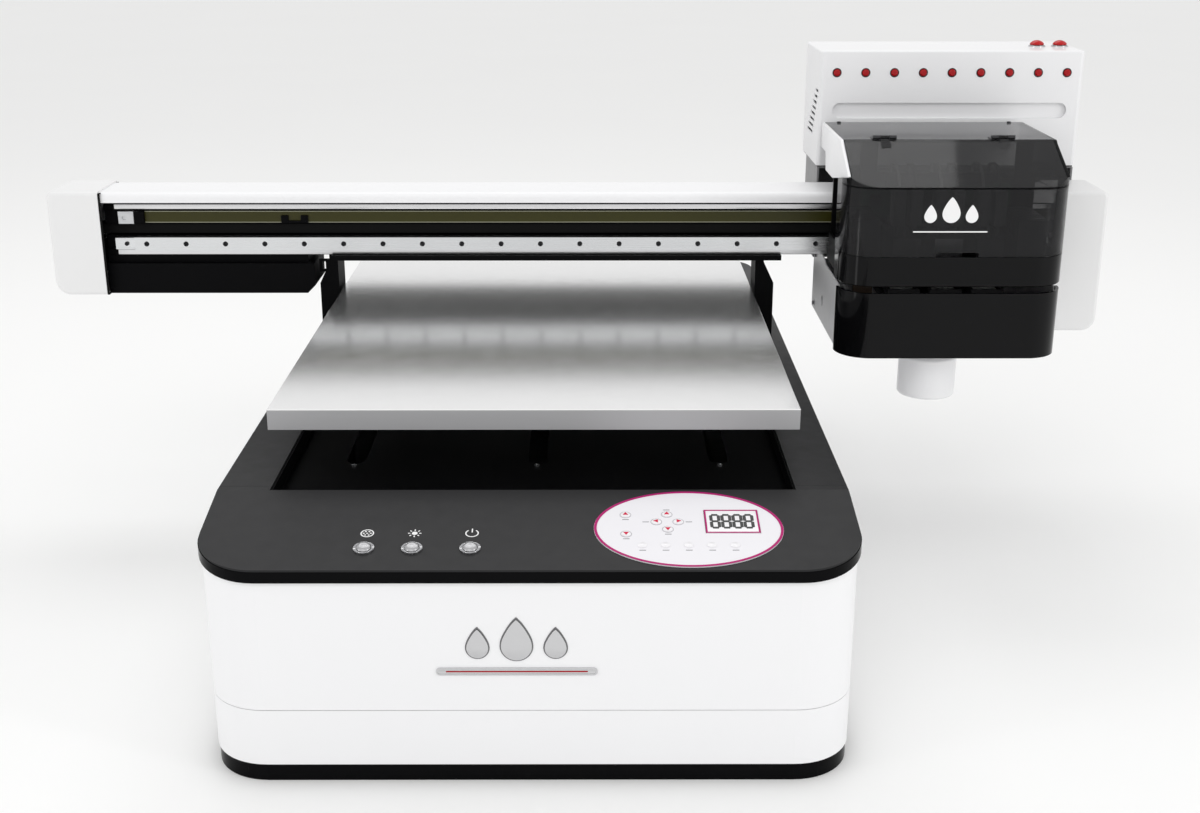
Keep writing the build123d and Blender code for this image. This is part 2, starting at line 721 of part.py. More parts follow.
with BuildPart() as station_frame:
    pan = 2.0
    extrude(car_plan(car_wall + 1, station_bottom + 0.5, station_back), amount=pan)
    for x in (425.5, 734.0):
        with BuildSketch(Plane.YZ.offset(x)):
            with BuildLine():
                Polyline(
                    (front + 630, station_bottom + 0.5),
                    (station_back, station_bottom + 0.5),
                    (station_back, beam_bottom),
                    (front + 800, beam_bottom),
                    (front + 764, station_top),
                    (front + 630, station_top),
                    close=True,
                )
            make_face()
            with Locations((front + 776, 357)):
                Circle(8.5, mode=Mode.SUBTRACT)
            with Locations((front + 640, 332), (front + 860, 332)):
                Circle(2.2, mode=Mode.SUBTRACT)
        extrude(amount=pan)
    block((427.5, station_back - pan, station_bottom + 0.5), (734.0, station_back, 400))
    for x in cap_guides_x:
        post(x, cap_guide_y, station_bottom + 1, 372, 9)
        post(x, cap_guide_y, station_bottom - 1, 373, 5 + fit, Mode.SUBTRACT)
    post(bottle_at[0], bottle_at[1], station_bottom - 1, 330, 16.4, Mode.SUBTRACT)
    for y in (front + 606, front + 782):
        block((wiper_x - 8, y, station_bottom + 1), (wiper_x + 8, y + 8, wiper_rod_z + 8))
    bar_along_y(wiper_x, wiper_rod_z, front + 610, front + 786, 4)

with BuildPart() as station_cover:
    extrude(car_plan(0, station_bottom, front + 629.5), amount=station_top - station_bottom)
    extrude(
        car_plan(car_wall, station_bottom - 1, front + 640),
        amount=station_top,
        mode=Mode.SUBTRACT,
    )

with BuildPart() as cap_unit:
    block((492, front + 640, 393), (668, front + 735, 403))
    for x in head_xs:
        block((x - 23, front + 628, 403), (x + 23, front + 742, 412))
        block((x - 20, front + 631, 405), (x + 20, front + 739, 413), Mode.SUBTRACT)
    for x in cap_guides_x:
        post(x, cap_guide_y, 340, 393, 5)

with BuildPart() as wiper:
    block((wiper_x - 14, front + 622, 368), (wiper_x + 14, front + 640, 402))
    bar_along_y(wiper_x, wiper_rod_z, front + 600, front + 650, 4 + fit, Mode.SUBTRACT)
    block((wiper_x - 14, front + 630, 402), (wiper_x + 14, front + 632, 419.5))

with BuildPart() as waste_bottle:
    with BuildSketch(upright_plane(bottle_at[0], bottle_at[1])):
        with BuildLine():
            FilletPolyline((0, 247), (42, 247), (42, 306), (24, 318), (16, 318), radius=4)
            Polyline((16, 318), (16, 332), (13.5, 332), (13.5, 314))
            Polyline((13.5, 314), (22, 314), (40, 303), (40, 249), (0, 249))
            Line((0, 249), (0, 247))
        make_face()
    revolve(axis=Axis((bottle_at[0], bottle_at[1], 0), (0, 0, 1)))

# ---------- Ink cabinet ----------

with BuildPart() as ink_cabinet:
    low = (cabinet_x[0], cabinet_y[0], cabinet_z[0])
    high = (cabinet_x[1], cabinet_y[1], cabinet_z[1])
    block(low, high)
    fillet(ink_cabinet.edges().filter_by(Axis.Z), 6)
    fillet(ink_cabinet.faces().sort_by(Axis.Z)[-1].edges(), 3)
    block(
        (low[0] + 2, low[1] + 2, low[2] - 1),
        (high[0] - 2, high[1] - 2, high[2] - 2),
        Mode.SUBTRACT,
    )
    recess_middle = ((cabinet_x[0] + cabinet_x[1]) / 2, 634)
    with BuildSketch(Plane.XZ.offset(-cabinet_y[0])):
        with Locations(recess_middle):
            SlotOverall(370, 29)
    extrude(amount=-9)
    with BuildSketch(Plane.XZ.offset(-cabinet_y[0])):
        with Locations(recess_middle):
            SlotOverall(364, 24)
    extrude(amount=-7, mode=Mode.SUBTRACT)
    with BuildSketch(Plane.XZ.offset(-cabinet_y[0] + 1)):
        for n in range(lamp_count):
            with Locations((lamp_first_x + n * lamp_pitch, lamp_z)):
                Circle(lamp_radius + 0.2)
    extrude(amount=-5, mode=Mode.SUBTRACT)
    with BuildSketch(Plane.YZ.offset(cabinet_x[0] - 1)):
        for n in range(8):
            vent_low = front + 893 + 6 * n
            vent_high = front + 922 + 10.3 * n
            with Locations(((vent_low + vent_high) / 2, 662 - 9.8 * n)):
                SlotOverall(vent_high - vent_low, 4.4)
    extrude(amount=4, mode=Mode.SUBTRACT)
    for x in cabinet_button_xs:
        post(x, cabinet_button_y, cabinet_z[1] - 5, cabinet_z[1] + 1, 4.6, Mode.SUBTRACT)

with BuildPart() as cabinet_support:
    block((424, cabinet_y[0] + 4, cabinet_z[0] - 3), (826, cabinet_y[1] - 2, cabinet_z[0]))
    block((424, station_back, 402), (826, front + 1005, cabinet_z[0] - 3))
    block((427, station_back - 1, 405), (823, front + 1002, cabinet_z[0] - 4), Mode.SUBTRACT)
    for x in (470.0, 700.0):
        block((x, front + 860, 440), (x + 40, station_back + 4, 500))

with BuildPart() as ink_bottles:
    for n in range(lamp_count):
        x = lamp_first_x + n * lamp_pitch
        block((x - 19, front + 900, cabinet_z[0]), (x + 19, front + 1010, 665))
        post(x, front + 955, 665, 682, 13)

with BuildPart() as indicator_lamps:
    for n in range(lamp_count):
        with BuildSketch(Plane.XZ.offset(-(cabinet_y[0] + 6))):
            with Locations((lamp_first_x + n * lamp_pitch, lamp_z)):
                Circle(lamp_radius)
        extrude(amount=9)
    fillet(indicator_lamps.faces().filter_by(Axis.Y).group_by(Axis.Y)[0].edges(), 2.5)


def press_dome(x):
    """Domed push button on top of the ink cabinet, with its stem."""
    with BuildSketch(upright_plane(x, cabinet_button_y)) as profile:
        with BuildLine():
            Polyline((0, 708), (4, 708), (4, 728), (10.8, 728), (10.8, 730))
            RadiusArc((10.8, 730), (0, 735), -14.164)
            Line((0, 735), (0, 708))
        make_face()
    revolve(profile.sketch, axis=Axis((x, cabinet_button_y, 0), (0, 0, 1)))


with BuildPart() as cabinet_button_left:
    press_dome(cabinet_button_xs[0])

with BuildPart() as cabinet_button_right:
    press_dome(cabinet_button_xs[1])

# ---------- Control panel ----------

with BuildPart() as button_bezels:
    with BuildSketch(panel.offset(0)):
        with Locations(*[(x, button_up) for x in button_xs]):
            Circle(11.5)
            Circle(8.7, mode=Mode.SUBTRACT)
    extrude(amount=2)
    with BuildSketch(panel.offset(0)):
        with Locations(*[(x, button_up) for x in button_xs]):
            Circle(9.5)
            Circle(8.7, mode=Mode.SUBTRACT)
    extrude(amount=-16)
    with BuildSketch(Plane.XY.offset(cabinet_z[1])):
        with Locations(*[(x, cabinet_button_y) for x in cabinet_button_xs]):
            Circle(13)
            Circle(11.2, mode=Mode.SUBTRACT)
    extrude(amount=2)

with BuildPart() as keypad:
    with BuildSketch(panel):
        with Locations(keypad_at):
            Ellipse(keypad_radii[0], keypad_radii[1])
        with Locations(display_at):
            Rectangle(display_size[0] + 1, display_size[1] + 1, mode=Mode.SUBTRACT)
    extrude(amount=1.2)

with BuildPart() as display:
    with BuildSketch(panel.offset(-9)):
        with Locations(display_at):
            RectangleRounded(display_size[0], display_size[1], 1)
    extrude(amount=10.6)


def push_button(x):
    """Metal cap of one panel button, with a shallow crown and its stem."""
    with BuildSketch(panel.offset(-12)) as face:
        with Locations((x, button_up)):
            Circle(8.4)
    extrude(face.sketch, amount=15.6)


with BuildPart() as suction_button:
    push_button(button_xs[0])
    fillet(suction_button.edges().sort_by(Axis.Z)[-1], 1.2)

with BuildPart() as lamp_button:
    push_button(button_xs[1])
    fillet(lamp_button.edges().sort_by(Axis.Z)[-1], 1.2)

with BuildPart() as power_button:
    push_button(button_xs[2])
    fillet(power_button.edges().sort_by(Axis.Z)[-1], 1.2)

finished = {
    "plinth": plinth,
    "lower_shell": lower_shell,
    "upper_shell": upper_shell,
    "rear_panel": rear_panel,
    "power_inlet": power_inlet,
    "top_rim": top_rim,
    "control_panel": control_panel,
    "deck": deck,
    "recess_tray": recess_tray,
    "base_frame": base_frame,
    "linear_rails": linear_rails,
    "screw_bearings": screw_bearings,
    "y_screw": y_screw,
    "stepper_motors": stepper_motors,
    "electronics": electronics,
    "vacuum_blower": vacuum_blower,
    "y_blocks": y_blocks,
    "saddle": saddle,
    "lift_drive": lift_drive,
    "lift_columns": lift_columns,
    "lift_platform": lift_platform,
    "table_box": table_box,
    "table_skin": table_skin,
    "uprights": uprights,
    "beam": beam,
    "beam_cover": beam_cover,
    "left_end_cap": left_end_cap,
    "right_end_cap": right_end_cap,
    "left_housing": left_housing,
    "encoder_strip": encoder_strip,
    "strip_clamps": strip_clamps,
    "carriage_belt": carriage_belt,
    "drive_pulley": drive_pulley,
    "idler_pulley": idler_pulley,
    "carriage_plate": carriage_plate,
    "rail_blocks": rail_blocks,
    "print_heads": print_heads,
    "uv_lamps": uv_lamps,
    "carriage_shell": carriage_shell,
    "carriage_cheeks": carriage_cheeks,
    "carriage_top": carriage_top,
    "hood_hinges": hood_hinges,
    "hood": hood,
    "station_frame": station_frame,
    "station_cover": station_cover,
    "cap_unit": cap_unit,
    "wiper": wiper,
    "waste_bottle": waste_bottle,
    "ink_cabinet": ink_cabinet,
    "cabinet_support": cabinet_support,
    "ink_bottles": ink_bottles,
    "indicator_lamps": indicator_lamps,
    "cabinet_button_left": cabinet_button_left,
    "cabinet_button_right": cabinet_button_right,
    "button_bezels": button_bezels,
    "keypad": keypad,
    "display": display,
    "suction_button": suction_button,
    "lamp_button": lamp_button,
    "power_button": power_button,
}

os.makedirs("parts", exist_ok=True)
for name, piece in finished.items():
    piece.part.label = name
    export_step(piece.part, f"parts/{name}.step")
print(len(finished), "sub-parts written")
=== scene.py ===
import math
import bpy
from mathutils import Matrix, Vector


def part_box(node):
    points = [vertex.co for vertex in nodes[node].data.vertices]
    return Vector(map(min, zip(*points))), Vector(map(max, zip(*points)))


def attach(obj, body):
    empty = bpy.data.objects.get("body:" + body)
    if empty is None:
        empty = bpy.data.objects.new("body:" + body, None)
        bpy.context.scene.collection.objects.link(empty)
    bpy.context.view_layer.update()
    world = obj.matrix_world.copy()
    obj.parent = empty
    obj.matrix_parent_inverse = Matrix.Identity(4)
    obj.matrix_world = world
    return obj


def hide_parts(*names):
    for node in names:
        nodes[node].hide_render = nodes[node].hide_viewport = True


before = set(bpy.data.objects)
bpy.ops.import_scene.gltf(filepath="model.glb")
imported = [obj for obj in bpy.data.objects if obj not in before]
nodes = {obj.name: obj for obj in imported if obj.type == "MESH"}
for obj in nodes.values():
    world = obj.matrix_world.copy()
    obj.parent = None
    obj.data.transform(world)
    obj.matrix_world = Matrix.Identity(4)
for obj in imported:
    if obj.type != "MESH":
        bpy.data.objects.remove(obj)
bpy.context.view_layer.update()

mm = 0.001
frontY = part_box("lower_shell")[0][1]  # the front of the base
print("frame loaded:", len(nodes), "nodes")

# camera and lights
cameraSetup = {
    "place": (0.0676, -2.1461, 0.9475),
    "pitch": 71.28,
    "yaw": -0.12,
    "lens": 45.05,
    "shift": 0.0053,
}
studio = {
    "floorSize": 60.0,
    "floorZ": -0.0005,
    "floorColour": (0.93, 0.93, 0.925),
    "worldColour": (1.0, 1.0, 1.0),
    "worldStrength": 0.88,
}
softBoxes = {
    "overheadBox": {"place": (-0.1, 1.3, 2.8), "aim": (0.0, 0.0, 0.3), "size": (2.6, 1.0), "watts": 14},
    "frontBox": {"place": (-0.4, -3.2, 3.4), "aim": (0.0, 0.0, 0.3), "size": (2.8, 1.6), "watts": 16},
    "leftStrip": {"place": (-2.6, -1.9, 1.2), "aim": (0.2, -0.3, 0.4), "size": (0.4, 2.2), "watts": 7},
    "rightStrip": {"place": (2.7, -2.0, 1.2), "aim": (0.5, -0.3, 0.4), "size": (0.3, 2.2), "watts": 12},
}


def aimAt(thing, target):
    direction = Vector(target) - thing.location
    thing.rotation_euler = direction.to_track_quat("-Z", "Y").to_euler()


camera = bpy.data.objects.new("camera", bpy.data.cameras.new("camera"))
bpy.context.scene.collection.objects.link(camera)
camera.location = cameraSetup["place"]
camera.rotation_euler = (math.radians(cameraSetup["pitch"]), 0, math.radians(cameraSetup["yaw"]))
camera.data.sensor_width = 36
camera.data.lens = cameraSetup["lens"]
camera.data.shift_x = cameraSetup["shift"]
bpy.context.scene.camera = camera

for name, box in softBoxes.items():
    lamp = bpy.data.objects.new(name, bpy.data.lights.new(name, "AREA"))
    bpy.context.scene.collection.objects.link(lamp)
    lamp.location = box["place"]
    lamp.data.shape = "RECTANGLE"
    lamp.data.size, lamp.data.size_y = box["size"]
    lamp.data.energy = box["watts"]
    aimAt(lamp, box["aim"])

world = bpy.data.worlds.new("studio")
bpy.context.scene.world = world
world.use_nodes = True
world.node_tree.nodes["Background"].inputs["Color"].default_value = (*studio["worldColour"], 1)
world.node_tree.nodes["Background"].inputs["Strength"].default_value = studio["worldStrength"]
bpy.context.scene.view_settings.view_transform = "Standard"
print("camera and lights placed")

# shader maths written as expressions


class Value:  # wraps a socket, so that 0.2 + mask * 0.3 adds the Math nodes
    def __init__(self, finish, socket):
        self.finish = finish
        self.socket = socket

    def maths(self, operation, first, second):
        return self.finish.node("Math", {0: first, 1: second}, operation=operation)

    def __add__(self, other):
        return self.maths("ADD", self, other)

    def __radd__(self, other):
        return self.maths("ADD", other, self)

    def __mul__(self, other):
        return self.maths("MULTIPLY", self, other)

    def __gt__(self, other):
        return self.maths("GREATER_THAN", self, other)

    def __lt__(self, other):
        return self.maths("LESS_THAN", self, other)


finishes = {}


class Finish:  # a material and the nodes in it, kept in finishes under its name
    def __init__(self, name, **constants):
        finishes[name] = self
        self.material = bpy.data.materials.new(name)
        self.material.use_nodes = True
        self.tree = self.material.node_tree
        self.shader = self.tree.nodes["Principled BSDF"]
        self.set(**constants)
        self.place = self.node("TexCoord", {}, "Object")

    def feed(self, socket, value):
        if isinstance(value, Value):
            self.tree.links.new(value.socket, socket)
        else:
            socket.default_value = value

    def node(self, kind, sockets, output=0, **settings):
        made = self.tree.nodes.new("ShaderNode" + kind)
        for key, value in settings.items():
            setattr(made, key, value)
        for key, value in sockets.items():
            self.feed(made.inputs[key], value)
        return Value(self, made.outputs[output])

    def set(self, **values):
        for key, value in values.items():
            socket = self.shader.inputs[socketNames[key]]
            self.feed(socket, value if isinstance(value, (Value, float, int)) else (*value, 1))

    def noise(self, scale, detail=2.0, stretch=(1, 1, 1)):
        spread = self.node("Mapping", {"Vector": self.place, "Scale": stretch})
        return self.node("TexNoise", {"Vector": spread, "Scale": scale, "Detail": detail})

    def band(self, value, low, high):  # 0 below low, 1 above high
        return self.node("MapRange", {0: value, 1: low, 2: high, 3: 0.0, 4: 1.0})

    def mixed(self, mask, first, second):
        colours = {0: mask, 6: first, 7: second}
        for spot in (6, 7):
            if not isinstance(colours[spot], Value):
                colours[spot] = (*colours[spot], 1)
        return self.node("Mix", colours, 2, data_type="RGBA")

    def tint(self, mask, colour, spread):  # from a darker to a lighter shade of the colour
        self.set(colour=self.mixed(mask, shade(colour, 1 - spread), shade(colour, 1 + spread)))

    def bump(self, height, depth):
        self.set(normal=self.node("Bump", {"Height": height, "Distance": depth}, "Normal"))


socketNames = {
    "colour": "Base Color",
    "rough": "Roughness",
    "metal": "Metallic",
    "coat": "Coat Weight",
    "coatRough": "Coat Roughness",
    "specular": "Specular IOR Level",
    "alpha": "Alpha",
    "normal": "Normal",
}


def shade(colour, amount):
    return tuple(min(1.0, part * amount) for part in colour)


def paint(name, colour, rough, peel=0.00001, spread=0.05, **shader):
    # sprayed lacquer: slow tone drift, faint roughness drift and orange peel
    finish = Finish(name, **shader)
    drift = finish.noise(3.5, 3.0)
    fine = finish.noise(60.0, 4.0)
    finish.tint(drift, colour, spread)
    finish.set(rough=rough * 0.82 + fine * (rough * 0.36))
    finish.bump(finish.noise(420.0, 1.0), peel)


def moulded(name, colour, rough, grain=1400.0, depth=0.00006, spread=0.08, **shader):
    # moulded plastic: pebbled grain with slightly darker pits
    finish = Finish(name, **shader)
    pebble = finish.node("TexVoronoi", {"Vector": finish.place, "Scale": grain})
    drift = finish.noise(9.0, 4.0)
    finish.tint(drift * 0.7 + pebble * 0.3, colour, spread)
    finish.set(rough=rough * 0.9 + drift * (rough * 0.2))
    finish.bump(pebble, depth)


def brushed(name, colour, rough, stretch, depth=0.00003, spread=0.1, **shader):
    # metal with grain drawn out along the axis that stretch leaves short
    finish = Finish(name, metal=1.0, **shader)
    grain = finish.noise(1.0, 6.0, stretch)
    stain = finish.noise(14.0, 3.0)
    finish.tint(grain * 0.6 + stain * 0.4, colour, spread)
    finish.set(rough=rough * 0.7 + grain * (rough * 0.6))
    finish.bump(grain, depth)


alongX = (6, 900, 900)
alongY = (900, 6, 900)
alongZ = (900, 900, 6)
evenGrain = (240, 240, 240)

# colour and roughness, then the grain's scale for moulded and its stretch for brushed,
# then the depth of the peel or grain and the spread of the colour
paint("glossBlack", (0.003, 0.003, 0.0034), 0.09, 0.000002, 0.25, specular=0.14)
paint("deepBlack", (0.0022, 0.0022, 0.0026), 0.2, 0.000002, 0.2, specular=0.05)
paint("whiteShell", (0.86, 0.86, 0.87), 0.36, 0.000002, 0.01, coat=0.2, coatRough=0.22)
paint("satinGrey", (0.024, 0.024, 0.025), 0.42, 0.000005, 0.05, specular=0.14)
moulded("mattBlack", (0.0022, 0.0022, 0.0026), 0.5, specular=0.05)
paint("framePaint", (0.035, 0.036, 0.040), 0.45, 0.00003, 0.1)
brushed("brightSteel", (0.70, 0.71, 0.72), 0.26, alongX)
brushed("brightSteelY", (0.70, 0.71, 0.72), 0.26, alongY)
brushed("darkSteel", (0.20, 0.20, 0.21), 0.34, evenGrain)
brushed("bareAluminium", (0.72, 0.72, 0.73), 0.30, alongX)
brushed("tableEdge", (0.46, 0.46, 0.47), 0.42, alongX, spread=0.05)
paint("tableWhite", (0.95, 0.95, 0.95), 0.17, 0.0000001, 0.005, metal=0.93)
paint("capWhite", (0.80, 0.80, 0.80), 0.35, 0.000008, 0.012, coat=0.2, coatRough=0.15)
moulded("motorBlack", (0.018, 0.018, 0.020), 0.42)
paint("circuitGreen", (0.02, 0.13, 0.05), 0.35, 0.0001, 0.25)
brushed("pulleyAlloy", (0.66, 0.66, 0.68), 0.28, alongZ)
moulded("beltRubber", (0.004, 0.004, 0.004), 0.6, 900.0, 0.0001, specular=0.1)
brushed("clampMetal", (0.58, 0.59, 0.60), 0.33, alongX)
brushed("headMetal", (0.42, 0.42, 0.44), 0.3, alongZ)
brushed("lampAlloy", (0.24, 0.24, 0.25), 0.36, alongZ)
brushed("hingeDark", (0.055, 0.055, 0.058), 0.34, alongX)
paint("stationGrey", (0.56, 0.56, 0.57), 0.32, 0.000008, 0.03, coat=0.2, coatRough=0.1)
moulded("capRubber", (0.03, 0.03, 0.032), 0.7)
moulded("wiperRubber", (0.035, 0.018, 0.007), 0.5)
moulded("bottleWhite", (0.82, 0.82, 0.83), 0.3, 500.0, 0.00004, 0.015, coat=0.3)
moulded("inkWhite", (0.75, 0.76, 0.78), 0.35, 500.0, 0.00004, 0.03)
paint("cabinetWhite", (0.84, 0.84, 0.85), 0.32, 0.000008, 0.012, coat=0.25, coatRough=0.12)
paint("supportGrey", (0.22, 0.22, 0.225), 0.4, 0.00001, 0.05)
paint("lampRed", (0.36, 0.001, 0.004), 0.15, 0.000004, 0.12, specular=0.3)
paint("buttonRed", (0.46, 0.002, 0.004), 0.16, 0.000004, 0.08, specular=0.35)
brushed("bezelSteel", (0.60, 0.60, 0.61), 0.24, evenGrain)
brushed("buttonSteel", (0.58, 0.58, 0.59), 0.2, evenGrain)
moulded("keypadFilm", (0.80, 0.79, 0.82), 0.34, 2200.0, 0.00003, 0.015)
moulded("displayFace", (0.82, 0.81, 0.83), 0.18, 2600.0, 0.00001, 0.01, coat=0.5)
moulded("inletBlack", (0.014, 0.014, 0.015), 0.4)
paint("magenta", (0.42, 0.0, 0.14), 0.35, spread=0.06, specular=0.15)
paint("arrowRed", (0.62, 0.002, 0.05), 0.4, spread=0.06, specular=0.15)
paint("printBlack", (0.012, 0.012, 0.013), 0.4, 0.00002, 0.2)
paint("printGrey", (0.16, 0.16, 0.17), 0.5, 0.00002, 0.1)
paint("printWhite", (0.86, 0.86, 0.86), 0.4, 0.00002, 0.03)
moulded("keyWhite", (0.86, 0.85, 0.87), 0.3, 2200.0, 0.00002, 0.01, coat=0.3)
brushed("chrome", (0.66, 0.66, 0.67), 0.12, alongX, 0.00001, 0.04)
brushed("crownSteel", (0.44, 0.44, 0.45), 0.36, evenGrain, 0.00001, 0.05)
brushed("nutSteel", (0.26, 0.26, 0.27), 0.34, evenGrain, 0.00001, 0.08)
brushed("emblemSteel", (0.60, 0.60, 0.61), 0.12, alongX, 0.00001, 0.06)
brushed("emblemEdge", (0.16, 0.16, 0.165), 0.2, evenGrain, 0.00001, 0.06)
# pale grey for the rings round the arrow keys: painted shade round their embossed domes
paint("paleShade", (0.42, 0.41, 0.43), 0.5, spread=0.06)
brushed("blackSteel", (0.03, 0.03, 0.032), 0.35, evenGrain)
paint("deepRed", (0.34, 0.004, 0.008), 0.3, spread=0.06, specular=0.2)
moulded("damperPlastic", (0.55, 0.56, 0.57), 0.25, 700.0, spread=0.05, coat=0.4)
moulded("inkPipeClear", (0.62, 0.63, 0.64), 0.2, 600.0, spread=0.05, coat=0.5)
moulded("inkPipeDark", (0.05, 0.05, 0.055), 0.25, 600.0, coat=0.4)
paint("lampGlass", (0.05, 0.03, 0.16), 0.06, spread=0.2, coat=1.0)
moulded("foamWhite", (0.72, 0.72, 0.70), 0.9, 500.0, 0.0004, 0.1)
print("plain finishes made:", len(finishes))


def smokedAcrylic(name, colour, alpha, rough):
    # tinted clear sheet: dust and fine hairlines lift the roughness a little
    finish = Finish(name, specular=0.28)
    dust = finish.noise(180.0, 6.0)
    hairline = finish.noise(1.0, 3.0, (30, 30, 1400))
    drift = finish.noise(5.0, 2.0)
    finish.tint(drift, colour, 0.2)
    finish.set(rough=rough + dust * 0.05 + finish.band(hairline, 0.62, 0.7) * 0.06)
    finish.set(alpha=alpha + finish.band(dust, 0.5, 0.75) * 0.03)
    finish.bump(dust, 0.00001)


def encoderFilm(name, colour, line):
    # film scale: fine cross lines between two clear margins
    finish = Finish(name, specular=0.2)
    low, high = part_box("encoder_strip")
    along = finish.node("SeparateXYZ", {0: finish.place}, "X")
    height = finish.node("SeparateXYZ", {0: finish.place}, "Z")
    lines = finish.node("Math", {0: along, 1: line}, operation="PINGPONG")
    mask = finish.band(lines, line * 0.35, line * 0.65)
    tall = high[2] - low[2]
    margin = (height < low[2] + tall * 0.06) + (height > high[2] - tall * 0.06)
    printed = finish.mixed(mask, shade(colour, 0.75), shade(colour, 1.2))
    finish.set(colour=finish.mixed(margin, printed, (0.30, 0.30, 0.22)))
    finish.set(rough=0.2 + finish.noise(90.0, 3.0) * 0.1)
    finish.bump(mask, 0.00001)


smokedAcrylic("smokedHood", (0.008, 0.008, 0.009), 0.70, 0.03)
smokedAcrylic("smokedTop", (0.085, 0.085, 0.09), 0.74, 0.08)
encoderFilm("encoderFilm", (0.040, 0.038, 0.007), 0.0005)

nodeFinish = {
    "glossBlack": ["carriage_shell", "station_cover"],
    "deepBlack": ["plinth", "top_rim"],
    "whiteShell": ["lower_shell", "upper_shell", "rear_panel", "beam_cover", "carriage_cheeks"],
    "capWhite": ["left_end_cap", "right_end_cap"],
    "satinGrey": ["control_panel", "deck"],
    "mattBlack": ["recess_tray", "uprights", "left_housing", "beam", "carriage_plate"],
    "framePaint": ["base_frame", "saddle", "lift_platform"],
    "brightSteel": ["linear_rails"],
    "brightSteelY": ["y_screw"],
    "darkSteel": ["screw_bearings", "lift_columns", "rail_blocks"],
    "motorBlack": ["stepper_motors", "lift_drive", "vacuum_blower"],
    "bareAluminium": ["y_blocks"],
    "tableEdge": ["table_box"],
    "tableWhite": ["table_skin"],
    "circuitGreen": ["electronics"],
    "pulleyAlloy": ["drive_pulley", "idler_pulley"],
    "beltRubber": ["carriage_belt"],
    "clampMetal": ["strip_clamps"],
    "headMetal": ["print_heads"],
    "lampAlloy": ["uv_lamps"],
    "hingeDark": ["hood_hinges"],
    "smokedHood": ["hood"],
    "smokedTop": ["carriage_top"],
    "encoderFilm": ["encoder_strip"],
    "stationGrey": ["station_frame"],
    "capRubber": ["cap_unit"],
    "wiperRubber": ["wiper"],
    "bottleWhite": ["waste_bottle"],
    "inkWhite": ["ink_bottles"],
    "cabinetWhite": ["ink_cabinet"],
    "supportGrey": ["cabinet_support"],
    "lampRed": ["indicator_lamps"],
    "buttonRed": ["cabinet_button_left", "cabinet_button_right"],
    "bezelSteel": ["button_bezels"],
    "buttonSteel": ["suction_button", "lamp_button", "power_button"],
    "keypadFilm": ["keypad"],
    "displayFace": ["display"],
    "inletBlack": ["power_inlet"],
}
for finishName, nodeNames in nodeFinish.items():
    for nodeName in nodeNames:
        for spot in nodes[nodeName].material_slots:
            spot.material = finishes[finishName].material
bare = set(nodes) - {name for group in nodeFinish.values() for name in group}
print("CAD nodes dressed; without a finish:", sorted(bare))

# modelling helpers


def clearPick():
    if bpy.context.mode != "OBJECT":
        bpy.ops.object.mode_set(mode="OBJECT")
    bpy.ops.object.select_all(action="DESELECT")


def handle(piece):  # makes it the one selected and active piece
    clearPick()
    piece.select_set(True)
    bpy.context.view_layer.objects.active = piece


def settle(name):  # names the new primitive and puts its place into its mesh
    piece = bpy.context.active_object
    piece.name = name
    bpy.ops.object.transform_apply(location=True, rotation=True, scale=True)
    return piece


def startBox(name, low, high):
    clearPick()
    middle = [(a + b) / 2 for a, b in zip(low, high)]
    size = [b - a for a, b in zip(low, high)]
    bpy.ops.mesh.primitive_cube_add(size=1, location=middle, scale=size)
    return settle(name)


def startBar(name, wide, tall, height):  # a box standing on z = 0, round the origin
    return startBox(name, (-wide / 2, -tall / 2, 0), (wide / 2, tall / 2, height))


def startRod(name, radius, length, sides, place):
    clearPick()
    bpy.ops.mesh.primitive_cylinder_add(vertices=sides, radius=radius, depth=length, location=place)
    return settle(name)


def startDisc(name, radius, sides=32):
    clearPick()
    bpy.ops.mesh.primitive_circle_add(vertices=sides, radius=radius, fill_type="NGON")
    return settle(name)


def pick(piece, kind, test):  # selects points, edges or faces by place or direction
    handle(piece)
    kinds = ("points", "edges", "faces")
    bpy.context.tool_settings.mesh_select_mode = [kind == each for each in kinds]
    mesh = piece.data
    for group in (mesh.vertices, mesh.edges, mesh.polygons):
        group.foreach_set("select", [False] * len(group))
    if kind == "points":
        for point in mesh.vertices:
            point.select = test(point.co)
    elif kind == "edges":
        for edge in mesh.edges:
            first, last = (mesh.vertices[n].co for n in edge.vertices)
            edge.select = test((first + last) / 2, (last - first).normalized())
    else:
        for face in mesh.polygons:
            face.select = test(face.center, face.normal)
    bpy.ops.object.mode_set(mode="EDIT")


def upright(place, way):
    return abs(way.z) > 0.9


def onTop(place, normal):
    return normal.z > 0.9


def inFront(place, normal):
    return normal.y < -0.9


def pickAll(piece):
    pick(piece, "faces", lambda place, normal: True)


def pullOut(move):
    bpy.ops.mesh.extrude_region_move(TRANSFORM_OT_translate={"value": move})


def roundEdges(piece, test, width, segments):
    pick(piece, "edges", test)
    bpy.ops.mesh.bevel(offset=width, segments=segments)
    clearPick()


def sinkFaces(piece, test, *steps):  # each step insets by a width and moves out by a depth
    pick(piece, "faces", test)
    for width, depth in steps:
        bpy.ops.mesh.inset(thickness=width, depth=depth)
    clearPick()


def outward(piece):
    pickAll(piece)
    bpy.ops.mesh.normals_make_consistent(inside=False)
    clearPick()


def hollow(piece, test, wall):  # opens the block between the two faces that pass
    pick(piece, "faces", test)
    bpy.ops.mesh.inset(thickness=wall, depth=0)
    bpy.ops.mesh.bridge_edge_loops()
    outward(piece)


def thicken(piece, height):
    pickAll(piece)
    pullOut((0, 0, height))
    outward(piece)


def stepTop(piece, steps):  # insets the top face and lifts or sinks it, step by step
    top = max(point.co.z for point in piece.data.vertices)
    pick(piece, "faces", lambda place, normal: place.z > top - 1e-6 and normal.z > 0.9)
    for inward, lift in steps:
        bpy.ops.mesh.inset(thickness=inward, depth=0)
        pullOut((0, 0, lift))
    clearPick()


